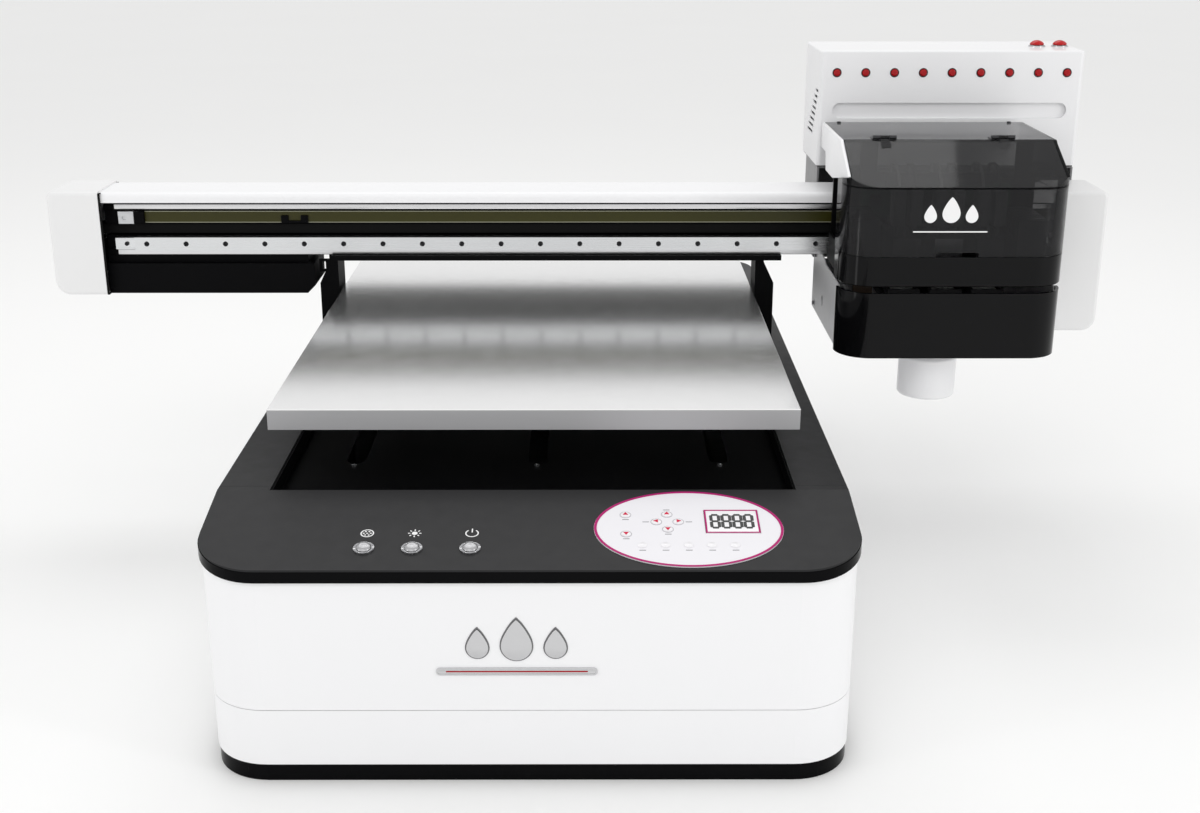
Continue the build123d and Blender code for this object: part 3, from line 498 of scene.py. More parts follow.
def ringFrom(piece, width, height):  # turns a flat disc or plate into a flat ring
    pickAll(piece)
    bpy.ops.mesh.inset(thickness=width, depth=0)
    bpy.ops.mesh.delete(type="FACE")
    thicken(piece, height)


def useModifier(piece, kind, **settings):
    handle(piece)
    made = piece.modifiers.new("shape", kind)
    for key, value in settings.items():
        setattr(made, key, value)
    bpy.ops.object.modifier_apply(modifier=made.name)


def soften(piece, width, segments=2):
    limits = {"limit_method": "ANGLE", "angle_limit": math.radians(35)}
    useModifier(piece, "BEVEL", width=width, segments=segments, **limits)


def copyTo(source, name, place):
    twin = source.copy()
    twin.data = source.data.copy()
    twin.name = name
    bpy.context.scene.collection.objects.link(twin)
    twin.data.transform(place)
    return twin


def copies(source, name, places):  # one piece out of as many copies as there are places
    parts = [copyTo(source, name, place) for place in places]
    bpy.data.objects.remove(source)
    return joined(name, parts)


def joined(name, parts):
    handle(parts[0])
    for part in parts:
        part.select_set(True)
    if len(parts) > 1:
        bpy.ops.object.join()
    parts[0].name = name
    return parts[0]


def dress(piece, finishName, body, angle=35):
    handle(piece)
    bpy.ops.object.shade_smooth_by_angle(angle=math.radians(angle))
    piece.data.materials.clear()
    piece.data.materials.append(finishes[finishName].material)
    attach(piece, body)
    return piece


def middleOf(node):
    low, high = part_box(node)
    return (Vector(low) + Vector(high)) / 2


def shift(x, y, z):
    return Matrix.Translation((x, y, z))


def turned(degrees, axis):
    return Matrix.Rotation(math.radians(degrees), 4, axis)


facing = {
    "front": turned(90, "X"),
    "back": turned(-90, "X"),
    "left": turned(-90, "Y"),
    "right": turned(90, "Y"),
    "up": turned(0, "X"),
    "down": turned(180, "X"),
}

# keypad on the inclined panel; x, then up the incline, then off the film
panelTilt = 10.26
filmHalf = 0.6 * mm


def onPanel(node, rise):  # x across, y up the incline, z off it
    return Matrix.Translation(middleOf(node)) @ turned(panelTilt, "X") @ shift(0, 0, rise)


keypadFrame = onPanel("keypad", filmHalf)
keypadRing = {
    "radii": (106.3 * mm, 75.7 * mm),
    "width": 3.0 * mm,
    "height": 0.5 * mm,
    "sides": 128,
    "soft": 0.15 * mm,
}
ring = startDisc("keypadRing", 1.0, keypadRing["sides"])
pickAll(ring)
bpy.ops.transform.resize(value=(*keypadRing["radii"], 1))
ringFrom(ring, keypadRing["width"], keypadRing["height"])
soften(ring, keypadRing["soft"], 1)
ring.data.transform(keypadFrame)
dress(ring, "magenta", "base")

keys = {
    "radius": 5.4 * mm,
    "steps": [(0.5 * mm, 0.5 * mm), (1.6 * mm, 0.35 * mm), (1.4 * mm, 0.1 * mm)],
    "height": 0.6 * mm,
    "cross": (-23.5, 12.1),
    "crossReach": (12.4, 15.2),
    "lift": ((-70.5, 26.4), (-70.5, -12.3)),
    "rowStart": (-53.0, -34.6),
    "rowPitch": 25.6,
    "rowCount": 5,
    "soft": 0.12 * mm,
    "shadeGap": 1.1 * mm,
    "shadeWidth": 0.55 * mm,
    "shadeHeight": 0.2 * mm,
}
crossX, crossY = keys["cross"]
reachX, reachY = keys["crossReach"]
arrowSpots = {
    (crossX, crossY + reachY): 0,
    (crossX - reachX, crossY): 90,
    (crossX, crossY - reachY): 180,
    (crossX + reachX, crossY): -90,
    keys["lift"][0]: 0,
    keys["lift"][1]: 180,
}
rowX, rowY = keys["rowStart"]
rowSpots = [(rowX + n * keys["rowPitch"], rowY) for n in range(keys["rowCount"])]


def onKeypad(x, y, turn=0.0, rise=0.0):
    return keypadFrame @ shift(x * mm, y * mm, rise * mm) @ turned(turn, "Z")


dome = startDisc("keyDomes", keys["radius"], 28)
thicken(dome, keys["height"])
stepTop(dome, keys["steps"])
outward(dome)
soften(dome, keys["soft"])
domes = copies(dome, "keyDomes", [onKeypad(*spot) for spot in [*arrowSpots, *rowSpots]])
dress(domes, "keyWhite", "base", 50)

# grey rings round the arrow keys: painted shade round each embossed dome
shadeCircle = startDisc("keyShadeRings", keys["radius"] + keys["shadeGap"], 32)
ringFrom(shadeCircle, keys["shadeWidth"], keys["shadeHeight"])
shadeCircles = copies(shadeCircle, "keyShadeRings", [onKeypad(*spot) for spot in arrowSpots])
dress(shadeCircles, "paleShade", "base")

arrowGlyph = {"radius": 3.7 * mm, "height": 0.15 * mm, "rise": 1.55, "soft": 0.05 * mm}
arrow = startDisc("keyArrows", arrowGlyph["radius"], 3)
thicken(arrow, arrowGlyph["height"])
soften(arrow, arrowGlyph["soft"], 1)
spots = [onKeypad(x, y, turn, arrowGlyph["rise"]) for (x, y), turn in arrowSpots.items()]
dress(copies(arrow, "keyArrows", spots), "arrowRed", "base")

tick = {"size": (7.5 * mm, 1.1 * mm), "height": 0.12 * mm, "round": 0.45 * mm, "drop": 9.5, "side": 12}
bar = startBar("keyTicks", *tick["size"], tick["height"])
roundEdges(bar, upright, tick["round"], 3)
tickSpots = [(x, y - tick["drop"]) for x, y in [*rowSpots, *keys["lift"]]]
tickSpots += [(crossX, crossY + reachY + tick["drop"]), (crossX, crossY - reachY - tick["drop"])]
tickSpots += [(crossX - reachX - tick["side"], crossY), (crossX + reachX + tick["side"], crossY)]
dress(copies(bar, "keyTicks", [onKeypad(*spot) for spot in tickSpots]), "printGrey", "base")
print("keypad made")

# display: frame, four figures
window = {
    "size": (61.0 * mm, 46.8 * mm),
    "line": 1.9 * mm,
    "height": 0.4 * mm,
    "rise": 5.3 * mm,
    "soft": 0.12 * mm,
}
displayFrame = onPanel("display", window["rise"])
frameLine = startBar("displayFrame", *window["size"], window["height"])
hollow(frameLine, lambda place, normal: abs(normal.z) > 0.9, window["line"])
soften(frameLine, window["soft"], 1)
frameLine.data.transform(displayFrame)
dress(frameLine, "magenta", "base")

figures = {
    "count": 4,
    "pitch": 12.6,
    "high": 26.0,
    "wide": 8.6,
    "stroke": 2.1,
    "gap": 0.5,
    "height": 0.15,
}
halfHigh, halfWide = figures["high"] / 2, figures["wide"] / 2
segment = startDisc("displayFigures", figures["stroke"] * mm, 6)
segmentReach = (halfHigh - 2 * figures["gap"]) / 2 - figures["stroke"]
pick(segment, "points", lambda place: place.y > 0)
bpy.ops.transform.translate(value=(0, segmentReach * mm, 0))
pick(segment, "points", lambda place: place.y < 0)
bpy.ops.transform.translate(value=(0, -segmentReach * mm, 0))
thicken(segment, figures["height"] * mm)
flatRatio = (figures["wide"] - 2 * figures["gap"]) / (halfHigh - 2 * figures["gap"])
segmentPlaces = []
for n in range(figures["count"]):
    centreX = (n - (figures["count"] - 1) / 2) * figures["pitch"]
    for sideX in (-halfWide, halfWide):
        for half in (-halfHigh / 2, halfHigh / 2):
            segmentPlaces.append(shift((centreX + sideX) * mm, half * mm, 0))
    for level in (-halfHigh, 0, halfHigh):
        lying = turned(90, "Z") @ Matrix.Diagonal((1, flatRatio, 1, 1))
        segmentPlaces.append(shift(centreX * mm, level * mm, 0) @ lying)
figuresMade = copies(segment, "displayFigures", [displayFrame @ place for place in segmentPlaces])
dress(figuresMade, "printBlack", "base")
print("display made")

# panel buttons: domed crowns, notched nuts and marks
buttonNames = ["suction_button", "lamp_button", "power_button"]
crown = {
    "radius": 8.0 * mm,
    "flatness": 0.3,
    "rise": 7.7 * mm,
    "flatTop": 0.985,
    "rim": 0.5 * mm,
    "sink": 0.25 * mm,
}

for name in buttonNames:
    clearPick()
    bpy.ops.mesh.primitive_uv_sphere_add(segments=36, ring_count=18, radius=crown["radius"])
    cap = settle(name.replace("_button", "Crown"))
    pickAll(cap)
    bpy.ops.transform.resize(value=(1, 1, crown["flatness"]))
    bpy.ops.mesh.select_all(action="SELECT")
    bpy.ops.mesh.bisect(plane_co=(0, 0, 0), plane_no=(0, 0, 1), use_fill=True, clear_inner=True)
    clearPick()
    sinkFaces(cap, lambda place, normal: normal.z > crown["flatTop"], (crown["rim"], -crown["sink"]))
    outward(cap)
    cap.data.transform(onPanel(name, crown["rise"]))
    dress(cap, "crownSteel", name, 40)

nut = {
    "outer": 11.2 * mm,
    "width": 2.2 * mm,
    "height": 1.0 * mm,
    "notches": 6,
    "notchDepth": 0.7 * mm,
    "drop": 1.9 * mm,
    "soft": 0.12 * mm,
}
nutRing = startDisc("buttonNuts", nut["outer"], 48)
ringFrom(nutRing, nut["width"], nut["height"])
notchTurn = 360 / nut["notches"]


def inNotch(place):
    angle = math.degrees(math.atan2(place.y, place.x)) % notchTurn
    return 0 < angle < notchTurn / 4 and place.z > nut["height"] * 0.9


pick(nutRing, "faces", lambda place, normal: onTop(place, normal) and inNotch(place))
pullOut((0, 0, -nut["notchDepth"]))
outward(nutRing)
soften(nutRing, nut["soft"], 1)
places = [onPanel(name, crown["rise"] - nut["drop"]) for name in buttonNames]
dress(copies(nutRing, "buttonNuts", places), "nutSteel", "base")

mark = {
    "up": 31.0 * mm,
    "sink": 3.45 * mm,
    "radius": 7.6 * mm,
    "stroke": 1.4 * mm,
    "height": 0.12 * mm,
    "gapFrom": 0.72,
    "holeReach": 0.52,
}


def markBar(name, length, turn, reach):
    half = mark["stroke"] / 2
    stem = startBox(name, (-half, reach, 0), (half, reach + length, mark["height"]))
    roundEdges(stem, upright, mark["stroke"] * 0.4, 3)
    stem.data.transform(turned(turn, "Z"))
    return stem


powerMark = startDisc("powerMark", mark["radius"], 48)
pickAll(powerMark)
bpy.ops.mesh.inset(thickness=mark["stroke"], depth=0)
bpy.ops.mesh.delete(type="FACE")
clearPick()
pick(powerMark, "faces", lambda place, normal: place.y > mark["radius"] * mark["gapFrom"])
bpy.ops.mesh.delete(type="FACE")
thicken(powerMark, mark["height"])
powerMark = joined("powerMark", [powerMark, markBar("stem", mark["radius"], 0, mark["radius"] * 0.2)])

lampMark = startDisc("lampMark", mark["radius"] * 0.42, 32)
thicken(lampMark, mark["height"])
rays = [markBar("ray", mark["radius"] * 0.36, 45 * n, mark["radius"] * 0.64) for n in range(8)]
lampMark = joined("lampMark", [lampMark, *rays])

suctionMark = startDisc("suctionMark", mark["radius"], 48)
ringFrom(suctionMark, mark["stroke"], mark["height"])
hole = startDisc("hole", mark["stroke"] * 0.8, 16)
thicken(hole, mark["height"])
reach = mark["radius"] * mark["holeReach"]
sixths = [math.radians(60 * n) for n in range(6)]
holeSpots = [shift(0, 0, 0), *(shift(math.cos(turn) * reach, math.sin(turn) * reach, 0) for turn in sixths)]
holes = copies(hole, "holes", holeSpots)
suctionMark = joined("suctionMark", [suctionMark, holes])
for name, piece in zip(buttonNames, (suctionMark, lampMark, powerMark)):
    piece.data.transform(onPanel(name, crown["rise"] - mark["sink"]) @ shift(0, mark["up"], 0))
    dress(piece, "printWhite", "base")
print("panel buttons made")

# nameplate on the front of the base: a bar with three drops above it
dropPull = [("SMOOTH", 1.5, 0.45), ("SHARP", 1.1, 0.45)]  # falloff, reach and pull, in radii


def makeDrop(name, radius, height):  # a disc drawn out to a point at the top
    drop = startDisc(name, radius, 48)
    pick(drop, "points", lambda place: place.y > radius * 0.999)  # its top point alone
    for falloff, reach, pull in dropPull:
        bpy.ops.transform.translate(
            value=(0, pull * radius, 0),
            use_proportional_edit=True,
            proportional_edit_falloff=falloff,
            proportional_size=reach * radius,
        )
    clearPick()
    thicken(drop, height)
    return drop


plate = {
    "middle": (-14 * mm, 139 * mm),
    "size": (178 * mm, 9 * mm),
    "height": 1.6 * mm,
    "sink": 0.5 * mm,
    "soft": 0.3 * mm,
    "line": (156.64 * mm, 1.6 * mm),
    "lineHeight": 1.3 * mm,
}
plateTall, lineTall = plate["size"][1], plate["line"][1]
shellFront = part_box("upper_shell")[0][1]
plateFrame = shift(plate["middle"][0], shellFront, plate["middle"][1]) @ facing["front"]

bar = startBar("nameplateBar", *plate["size"], plate["height"])
roundEdges(bar, upright, plateTall * 0.45, 6)
stepTop(bar, [(plateTall * 0.2, -plate["sink"])])
outward(bar)
soften(bar, plate["soft"])
bar.data.transform(plateFrame)
dress(bar, "emblemSteel", "base")

stripe = startBar("nameplateStripe", *plate["line"], plate["lineHeight"])
roundEdges(stripe, upright, lineTall * 0.4, 3)
stripe.data.transform(plateFrame)
dress(stripe, "deepRed", "base")

emblem = {
    "radii": (17, 12, 12),
    "spots": (0, -43, 43),
    "rise": 31 * mm,
    "height": 1.6 * mm,
    "edge": 1.5,
    "edgeSoft": 0.2 * mm,
    "facet": 0.35,
    "crown": 2.6 * mm,
}
edges, drops = [], []
for radius, spot in zip(emblem["radii"], emblem["spots"]):  # each drop stands on a larger dark one
    place = plateFrame @ shift(spot * mm, emblem["rise"] - (emblem["radii"][0] - radius) * 0.45 * mm, 0)
    rim = makeDrop("emblemRim", (radius + emblem["edge"]) * mm, emblem["height"] * 0.4)
    soften(rim, emblem["edgeSoft"], 1)
    rim.data.transform(place)
    edges.append(rim)
    drop = makeDrop("emblemDrop", radius * mm, emblem["height"])
    pick(drop, "faces", onTop)
    pullOut((0, 0, emblem["crown"]))
    bpy.ops.transform.resize(value=(emblem["facet"], emblem["facet"], 1), center_override=(0, 0, 0))
    clearPick()
    outward(drop)
    drop.data.transform(place)
    drops.append(drop)
dress(joined("nameplateRims", edges), "emblemEdge", "base")
dress(joined("nameplateDrops", drops), "emblemSteel", "base")

# the same drop, printed white on the hood
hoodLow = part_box("hood")[0]
hoodMark = {
    "middle": (568 * mm, 532 * mm),
    "radius": 12.5 * mm,
    "sideRadius": 8.75 * mm,
    "sideReach": 28.75 * mm,
    "sideDrop": 3.75 * mm,
    "height": 0.15 * mm,
    "line": (104 * mm, 1.8 * mm),
    "lineDrop": 25 * mm,
}
markFrame = shift(hoodMark["middle"][0], hoodLow[1], hoodMark["middle"][1]) @ facing["front"]
printed = [makeDrop("hoodDrop", hoodMark["radius"], hoodMark["height"])]
for side in (-1, 1):
    dot = makeDrop("hoodDrop", hoodMark["sideRadius"], hoodMark["height"])
    dot.data.transform(shift(side * hoodMark["sideReach"], -hoodMark["sideDrop"], 0))
    printed.append(dot)
under = startBar("hoodLine", *hoodMark["line"], hoodMark["height"])
roundEdges(under, upright, hoodMark["line"][1] * 0.45, 3)
under.data.transform(shift(0, -hoodMark["lineDrop"], 0))
hoodPrint = joined("hoodPrint", [*printed, under])
hoodPrint.data.transform(markFrame)
dress(hoodPrint, "printWhite", "hood")
print("nameplate and hood print made")

# screws: a pan head and a cap head, copied to every place
screw = {
    "pan": {"radius": 3.2 * mm, "height": 1.9 * mm, "socket": 1.5 * mm},
    "cap": {"radius": 3.6 * mm, "height": 2.4 * mm, "socket": 1.9 * mm},
}


def makeScrew(kind, sides=18):
    size = screw[kind]
    head = startRod("screw", size["radius"], size["height"], sides, (0, 0, size["height"] / 2))
    pick(head, "faces", onTop)
    bpy.ops.mesh.inset(thickness=size["radius"] * 0.18, depth=size["height"] * 0.16)
    bpy.ops.mesh.inset(thickness=size["radius"] * 0.82 - size["socket"], depth=0)
    pullOut((0, 0, -size["height"] * 0.6))
    clearPick()
    return head


def placeScrews(name, kind, spots, way, finishName, body):
    places = [shift(*spot) @ facing[way] for spot in spots]
    dress(copies(makeScrew(kind), name, places), finishName, body, 40)


def grid(lowX, highX, countX, lowZ, highZ, countZ):  # evenly spaced pairs
    stepX = (highX - lowX) / (countX - 1)
    stepZ = (highZ - lowZ) / (countZ - 1)
    return [(lowX + n * stepX, lowZ + k * stepZ) for n in range(countX) for k in range(countZ)]


screwPlaces = {
    "railFirst": -608.8 * mm,
    "railLast": 765 * mm,
    "railPitch": 60 * mm,
    "railInset": 17.1 * mm,
    "railZ": 447.5 * mm,
    "tray": (-230 * mm, 0, 230 * mm),
    "trayY": 290 * mm,
    "trayZ": 270 * mm,
    "rearEdge": 9 * mm,
    "inletEdge": 3.5 * mm,
    "cabinetEdge": 12 * mm,
    "capEdge": 16 * mm,
    "capLow": 34 * mm,
    "capHigh": 24 * mm,
    "stationYs": (640 * mm, 860 * mm),
    "stationZs": (332 * mm, 410 * mm),
    "topEdge": (20 * mm, 10 * mm),
}
beamLow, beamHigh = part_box("beam")
railCount = int((screwPlaces["railLast"] - screwPlaces["railFirst"]) // screwPlaces["railPitch"]) + 1
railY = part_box("left_end_cap")[0][1] + screwPlaces["railInset"]
spots = [
    (screwPlaces["railFirst"] + n * screwPlaces["railPitch"], railY, screwPlaces["railZ"])
    for n in range(railCount)
]
placeScrews("railScrews", "cap", spots, "front", "blackSteel", "base")

spots = [(x, frontY + screwPlaces["trayY"], screwPlaces["trayZ"]) for x in screwPlaces["tray"]]
placeScrews("trayScrews", "pan", spots, "up", "brightSteel", "base")


def backSpots(node, edge, count):  # two rows on the back of a node, in from its edges
    low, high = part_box(node)
    pairs = grid(low[0] + edge, high[0] - edge, count, low[2] + edge, high[2] - edge, 2)
    return [(x, high[1], z) for x, z in pairs]


spots = backSpots("rear_panel", screwPlaces["rearEdge"], 5)
placeScrews("rearScrews", "pan", spots, "back", "darkSteel", "base")

low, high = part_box("power_inlet")
inletXs = (low[0] + screwPlaces["inletEdge"], high[0] - screwPlaces["inletEdge"])
spots = [(x, high[1], (low[2] + high[2]) / 2) for x in inletXs]
placeScrews("inletScrews", "pan", spots, "back", "darkSteel", "base")

spots = backSpots("ink_cabinet", screwPlaces["cabinetEdge"], 4)
placeScrews("cabinetScrews", "pan", spots, "back", "bezelSteel", "base")

for cap, way in (("left_end_cap", "left"), ("right_end_cap", "right")):
    low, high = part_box(cap)
    outerX = low[0] if way == "left" else high[0]
    rowY = (low[1] + screwPlaces["capEdge"], high[1] - screwPlaces["capEdge"])
    rowZ = (low[2] + screwPlaces["capLow"], high[2] - screwPlaces["capHigh"])
    spots = [(outerX, y, z) for y, z in grid(*rowY, 2, *rowZ, 2)]
    placeScrews(cap.replace("_end_cap", "CapScrews"), "pan", spots, way, "bezelSteel", "base")

stationLow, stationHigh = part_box("station_frame")
frontRow, backRow = [frontY + y for y in screwPlaces["stationYs"]]
lowRow, highRow = screwPlaces["stationZs"]
for way, outerX in (("left", stationLow[0]), ("right", stationHigh[0])):
    spots = [(outerX, frontRow, lowRow), (outerX, backRow, lowRow), (outerX, backRow, highRow)]
    placeScrews(way + "StationScrews", "pan", spots, way, "darkSteel", "base")

low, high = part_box("carriage_top")
edgeX, edgeY = screwPlaces["topEdge"]
spots = [(x, high[1] - edgeY, high[2]) for x in (low[0] + edgeX, high[0] - edgeX)]
placeScrews("topScrews", "pan", spots, "up", "hingeDark", "carriage")
print("screws placed")

# dark gaskets between the beam and its end caps
gasketSize = {
    "wall": 1.1 * mm,
    "long": 3.4 * mm,
    "front": 0.8 * mm,
    "under": 0.6 * mm,
    "back": 0.3 * mm,
    "top": 0.4 * mm,
    "soft": 0.3 * mm,
}


def makeGasket(name, cap, inner, side):
    low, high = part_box(cap)
    lowX, highX = sorted((inner, inner + side * gasketSize["long"]))
    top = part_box("beam_cover")[1][2] - gasketSize["top"]  # its top edge stays under the beam cover
    start = (lowX, low[1] + gasketSize["front"], low[2] + gasketSize["under"])
    gasket = startBox(name, start, (highX, high[1] - gasketSize["back"], top))
    hollow(gasket, lambda place, normal: abs(normal.x) > 0.9, gasketSize["wall"])
    soften(gasket, gasketSize["soft"], 1)
    dress(gasket, "beltRubber", "base")


makeGasket("leftGasket", "left_end_cap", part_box("left_end_cap")[1][0], 1)
makeGasket("rightGasket", "right_end_cap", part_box("right_end_cap")[0][0], -1)

# teeth of the carriage belt, on the inside of both runs
beltLow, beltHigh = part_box("carriage_belt")
teeth = {
    "pitch": 5 * mm,
    "width": 2.4 * mm,
    "height": 0.9 * mm,
    "taper": 0.6,
    "wall": 1.6 * mm,
    "edge": 0.3 * mm,
    "endGap": 26 * mm,
}
toothCount = int((beltHigh[0] - beltLow[0] - 2 * teeth["endGap"]) / teeth["pitch"])
runs = []
for side, wallY in ((1, beltLow[1] + teeth["wall"]), (-1, beltHigh[1] - teeth["wall"])):
    startX = beltLow[0] + teeth["endGap"]
    lowY, highY = sorted((wallY, wallY + side * teeth["height"]))
    start = (startX, lowY, beltLow[2] + teeth["edge"])
    tooth = startBox("tooth", start, (startX + teeth["width"], highY, beltHigh[2] - teeth["edge"]))
    pick(tooth, "faces", lambda place, normal, side=side: normal.y * side > 0.9)
    bpy.ops.transform.resize(value=(teeth["taper"], 1, 1))
    offset = {"use_relative_offset": False, "use_constant_offset": True}
    useModifier(tooth, "ARRAY", count=toothCount, constant_offset_displace=(teeth["pitch"], 0, 0), **offset)
    runs.append(tooth)
dress(joined("beltTeeth", runs), "beltRubber", "base")
print("gaskets and belt teeth made")

# dark rings round the indicator lamps: painted shade standing in for the shadow round each lamp
lampLow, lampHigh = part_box("indicator_lamps")
lamps = {
    "first": 447.6 * mm,
    "pitch": 44.35 * mm,
    "count": 9,
    "outer": 7.0 * mm,
    "width": 1.3 * mm,
    "height": 0.7 * mm,
    "soft": 0.2 * mm,
}
shadowRing = startDisc("lampShadowRings", lamps["outer"], 32)
ringFrom(shadowRing, lamps["width"], lamps["height"])
soften(shadowRing, lamps["soft"], 1)
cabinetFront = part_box("ink_cabinet")[0][1]
places = [
    shift(lamps["first"] + n * lamps["pitch"], cabinetFront, (lampLow[2] + lampHigh[2]) / 2) @ facing["front"]
    for n in range(lamps["count"])
]
# black rings: painted shade round each lamp
dress(copies(shadowRing, "lampShadowRings", places), "blackSteel", "base")

# nodes whose solids have two finishes: white and dark cheeks, bright and black strip clamps


def meshOf(node, name):  # a merged copy of a CAD node's mesh
    twin = copyTo(nodes[node], name, shift(0, 0, 0))
    twin.parent = None
    for key in list(twin.keys()):
        del twin[key]
    pickAll(twin)
    bpy.ops.mesh.remove_doubles(threshold=0.00001)
    clearPick()
    return twin


splitSoft = 0.4 * mm


def splitNode(node, edge, body, halves):  # two pieces, left and right of x = edge, stand for the node
    made = []
    for side, (name, finishName, slot) in zip((1, -1), halves):
        half = meshOf(node, name)
        pick(half, "faces", lambda place, normal, side=side: (place.x - edge) * side > 1e-5)
        bpy.ops.mesh.delete(type="FACE")
        outward(half)
        pickAll(half)
        bpy.ops.mesh.dissolve_limited(angle_limit=math.radians(1))
        clearPick()
        soften(half, splitSoft)
        made.append(dress(half, finishName, body))
    for piece in made:
        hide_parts(node)


cheekLow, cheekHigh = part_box("carriage_cheeks")
splitNode(
    "carriage_cheeks",
    (cheekLow[0] + cheekHigh[0]) / 2,
    "carriage",
    [("leftCheek", "whiteShell", "white_shell"), ("rightCheek", "glossBlack", "gloss_black")],
)
clampEdge = -627.2 * mm
splitNode(
    "strip_clamps",
    clampEdge,
    "base",
    [("stripClamp", "clampMetal", "clamp_metal"), ("stripHolders", "mattBlack", "matt_black")],
)

# dark line where the hood's sloping face meets its front
seam = {"low": 566.2 * mm, "high": 568.4 * mm, "depth": 44 * mm, "proud": 0.15 * mm}
hoodSeam = meshOf("hood", "hoodSeam")
cuts = [
    ((0, 0, seam["low"]), (0, 0, -1)),
    ((0, 0, seam["high"]), (0, 0, 1)),
    ((0, hoodLow[1] + seam["depth"], 0), (0, 1, 0)),
]
for spot, way in cuts:
    pickAll(hoodSeam)
    bpy.ops.mesh.bisect(plane_co=spot, plane_no=way, use_fill=True, clear_outer=True)
    clearPick()
outward(hoodSeam)
pickAll(hoodSeam)
bpy.ops.transform.shrink_fatten(value=seam["proud"])
clearPick()
dress(hoodSeam, "deepBlack", "hood")

# folded black tray behind and under the beam, shaped like a cable tray: a dark sheet that darkens the table
# top near the beam, standing in for the shade there
tray = {
    "left": -345 * mm,
    "right": 421 * mm,
    "reach": 156 * mm,
    "under": 30 * mm,
    "tall": 24 * mm,
    "sheet": 2 * mm,
    "lip": 10 * mm,
    "soft": 0.5 * mm,
}
trayBack = beamHigh[1] + tray["reach"]
trayTop = beamLow[2] + tray["tall"]
start = (tray["left"], beamHigh[1] - tray["under"], beamLow[2] - tray["sheet"])
shadeTray = startBox("shadeTray", start, (tray["right"], trayBack, beamLow[2]))
pick(shadeTray, "faces", lambda place, normal: normal.y > 0.9)
pullOut((0, tray["sheet"], 0))
pick(shadeTray, "faces", lambda place, normal: onTop(place, normal) and place.y > trayBack)
pullOut((0, 0, tray["tall"] - tray["sheet"]))
pullOut((0, 0, tray["sheet"]))
pick(shadeTray, "faces", lambda place, normal: inFront(place, normal) and place.z > trayTop - tray["sheet"])
pullOut((0, -tray["lip"], 0))
outward(shadeTray)
soften(shadeTray, tray["soft"])
# matt black: a dark sheet standing in for the shade on the table near the beam
dress(shadeTray, "mattBlack", "base")

trayRib = {
    "count": 7,
    "wide": 14 * mm,
    "high": 5 * mm,
    "round": 4 * mm,
    "margin": 30 * mm,
    "gap": 8 * mm,
    "tie": 12 * mm,
}
ribs, tieSpots = [], []
ribStep = (tray["right"] - tray["left"] - 2 * trayRib["margin"]) / (trayRib["count"] - 1)
ribFront, ribBack = beamHigh[1] + trayRib["gap"], trayBack - trayRib["gap"]
ribTop = beamLow[2] + trayRib["high"]
ribMiddle = beamLow[2] + trayRib["high"] / 2
for n in range(trayRib["count"]):
    ribX = tray["left"] + trayRib["margin"] + n * ribStep
    start = (ribX - trayRib["wide"] / 2, ribFront, beamLow[2])
    rib = startBox("trayRib", start, (ribX + trayRib["wide"] / 2, ribBack, ribTop))
    roundEdges(rib, lambda place, way: abs(way.y) > 0.9 and place.z > ribMiddle, trayRib["round"], 4)
    ribs.append(rib)
    tieSpots += [(ribX, y, ribTop) for y in (ribFront + trayRib["tie"], ribBack - trayRib["tie"])]
dress(joined("trayRibs", ribs), "satinGrey", "base")
placeScrews("trayTies", "pan", tieSpots, "up", "darkSteel", "base")

# bright lip above the encoder film, bright foot under the rail and the stop at the rail's left end
bands = {"beamLip": (498.9 * mm, 505.8 * mm), "beamFoot": (428.6 * mm, 437.6 * mm)}
band = {"left": -657 * mm, "inFront": 1.2 * mm, "proud": 0.3 * mm, "edge": 0.12 * mm}
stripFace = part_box("encoder_strip")[0][1] - band["inFront"]
bandMiddle = stripFace - band["proud"] / 2
for name, (low, high) in bands.items():
    start = (band["left"], stripFace - band["proud"], low)
    strip = startBox(name, start, (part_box("beam_cover")[1][0], stripFace, high))
    roundEdges(strip, lambda place, way: abs(way.x) > 0.9 and place.y < bandMiddle, band["edge"], 2)
    dress(strip, "bareAluminium", "base")

railStop = {
    "left": -657 * mm,
    "right": -627.3 * mm,
    "low": 438.0 * mm,
    "high": 456.6 * mm,
    "front": 10 * mm,
    "back": 4 * mm,
    "round": 1.2 * mm,
    "rim": 2.2 * mm,
    "sink": 0.5 * mm,
    "screwX": -640 * mm,
}
stopFront = stripFace - railStop["front"]
start = (railStop["left"], stopFront, railStop["low"])
stop = startBox("railStop", start, (railStop["right"], stripFace + railStop["back"], railStop["high"]))
roundEdges(stop, lambda place, way: abs(way.x) > 0.9, railStop["round"], 3)
sinkFaces(stop, lambda place, normal: normal.y < -0.95, (railStop["rim"], -railStop["sink"]))
dress(stop, "brightSteel", "base")
stopScrew = [(railStop["screwX"], stopFront + railStop["sink"], (railStop["low"] + railStop["high"]) / 2)]
placeScrews("stopScrew", "pan", stopScrew, "front", "blackSteel", "base")
print("lamp rings, cheeks, clamps, hood seam, tray and beam trim made")

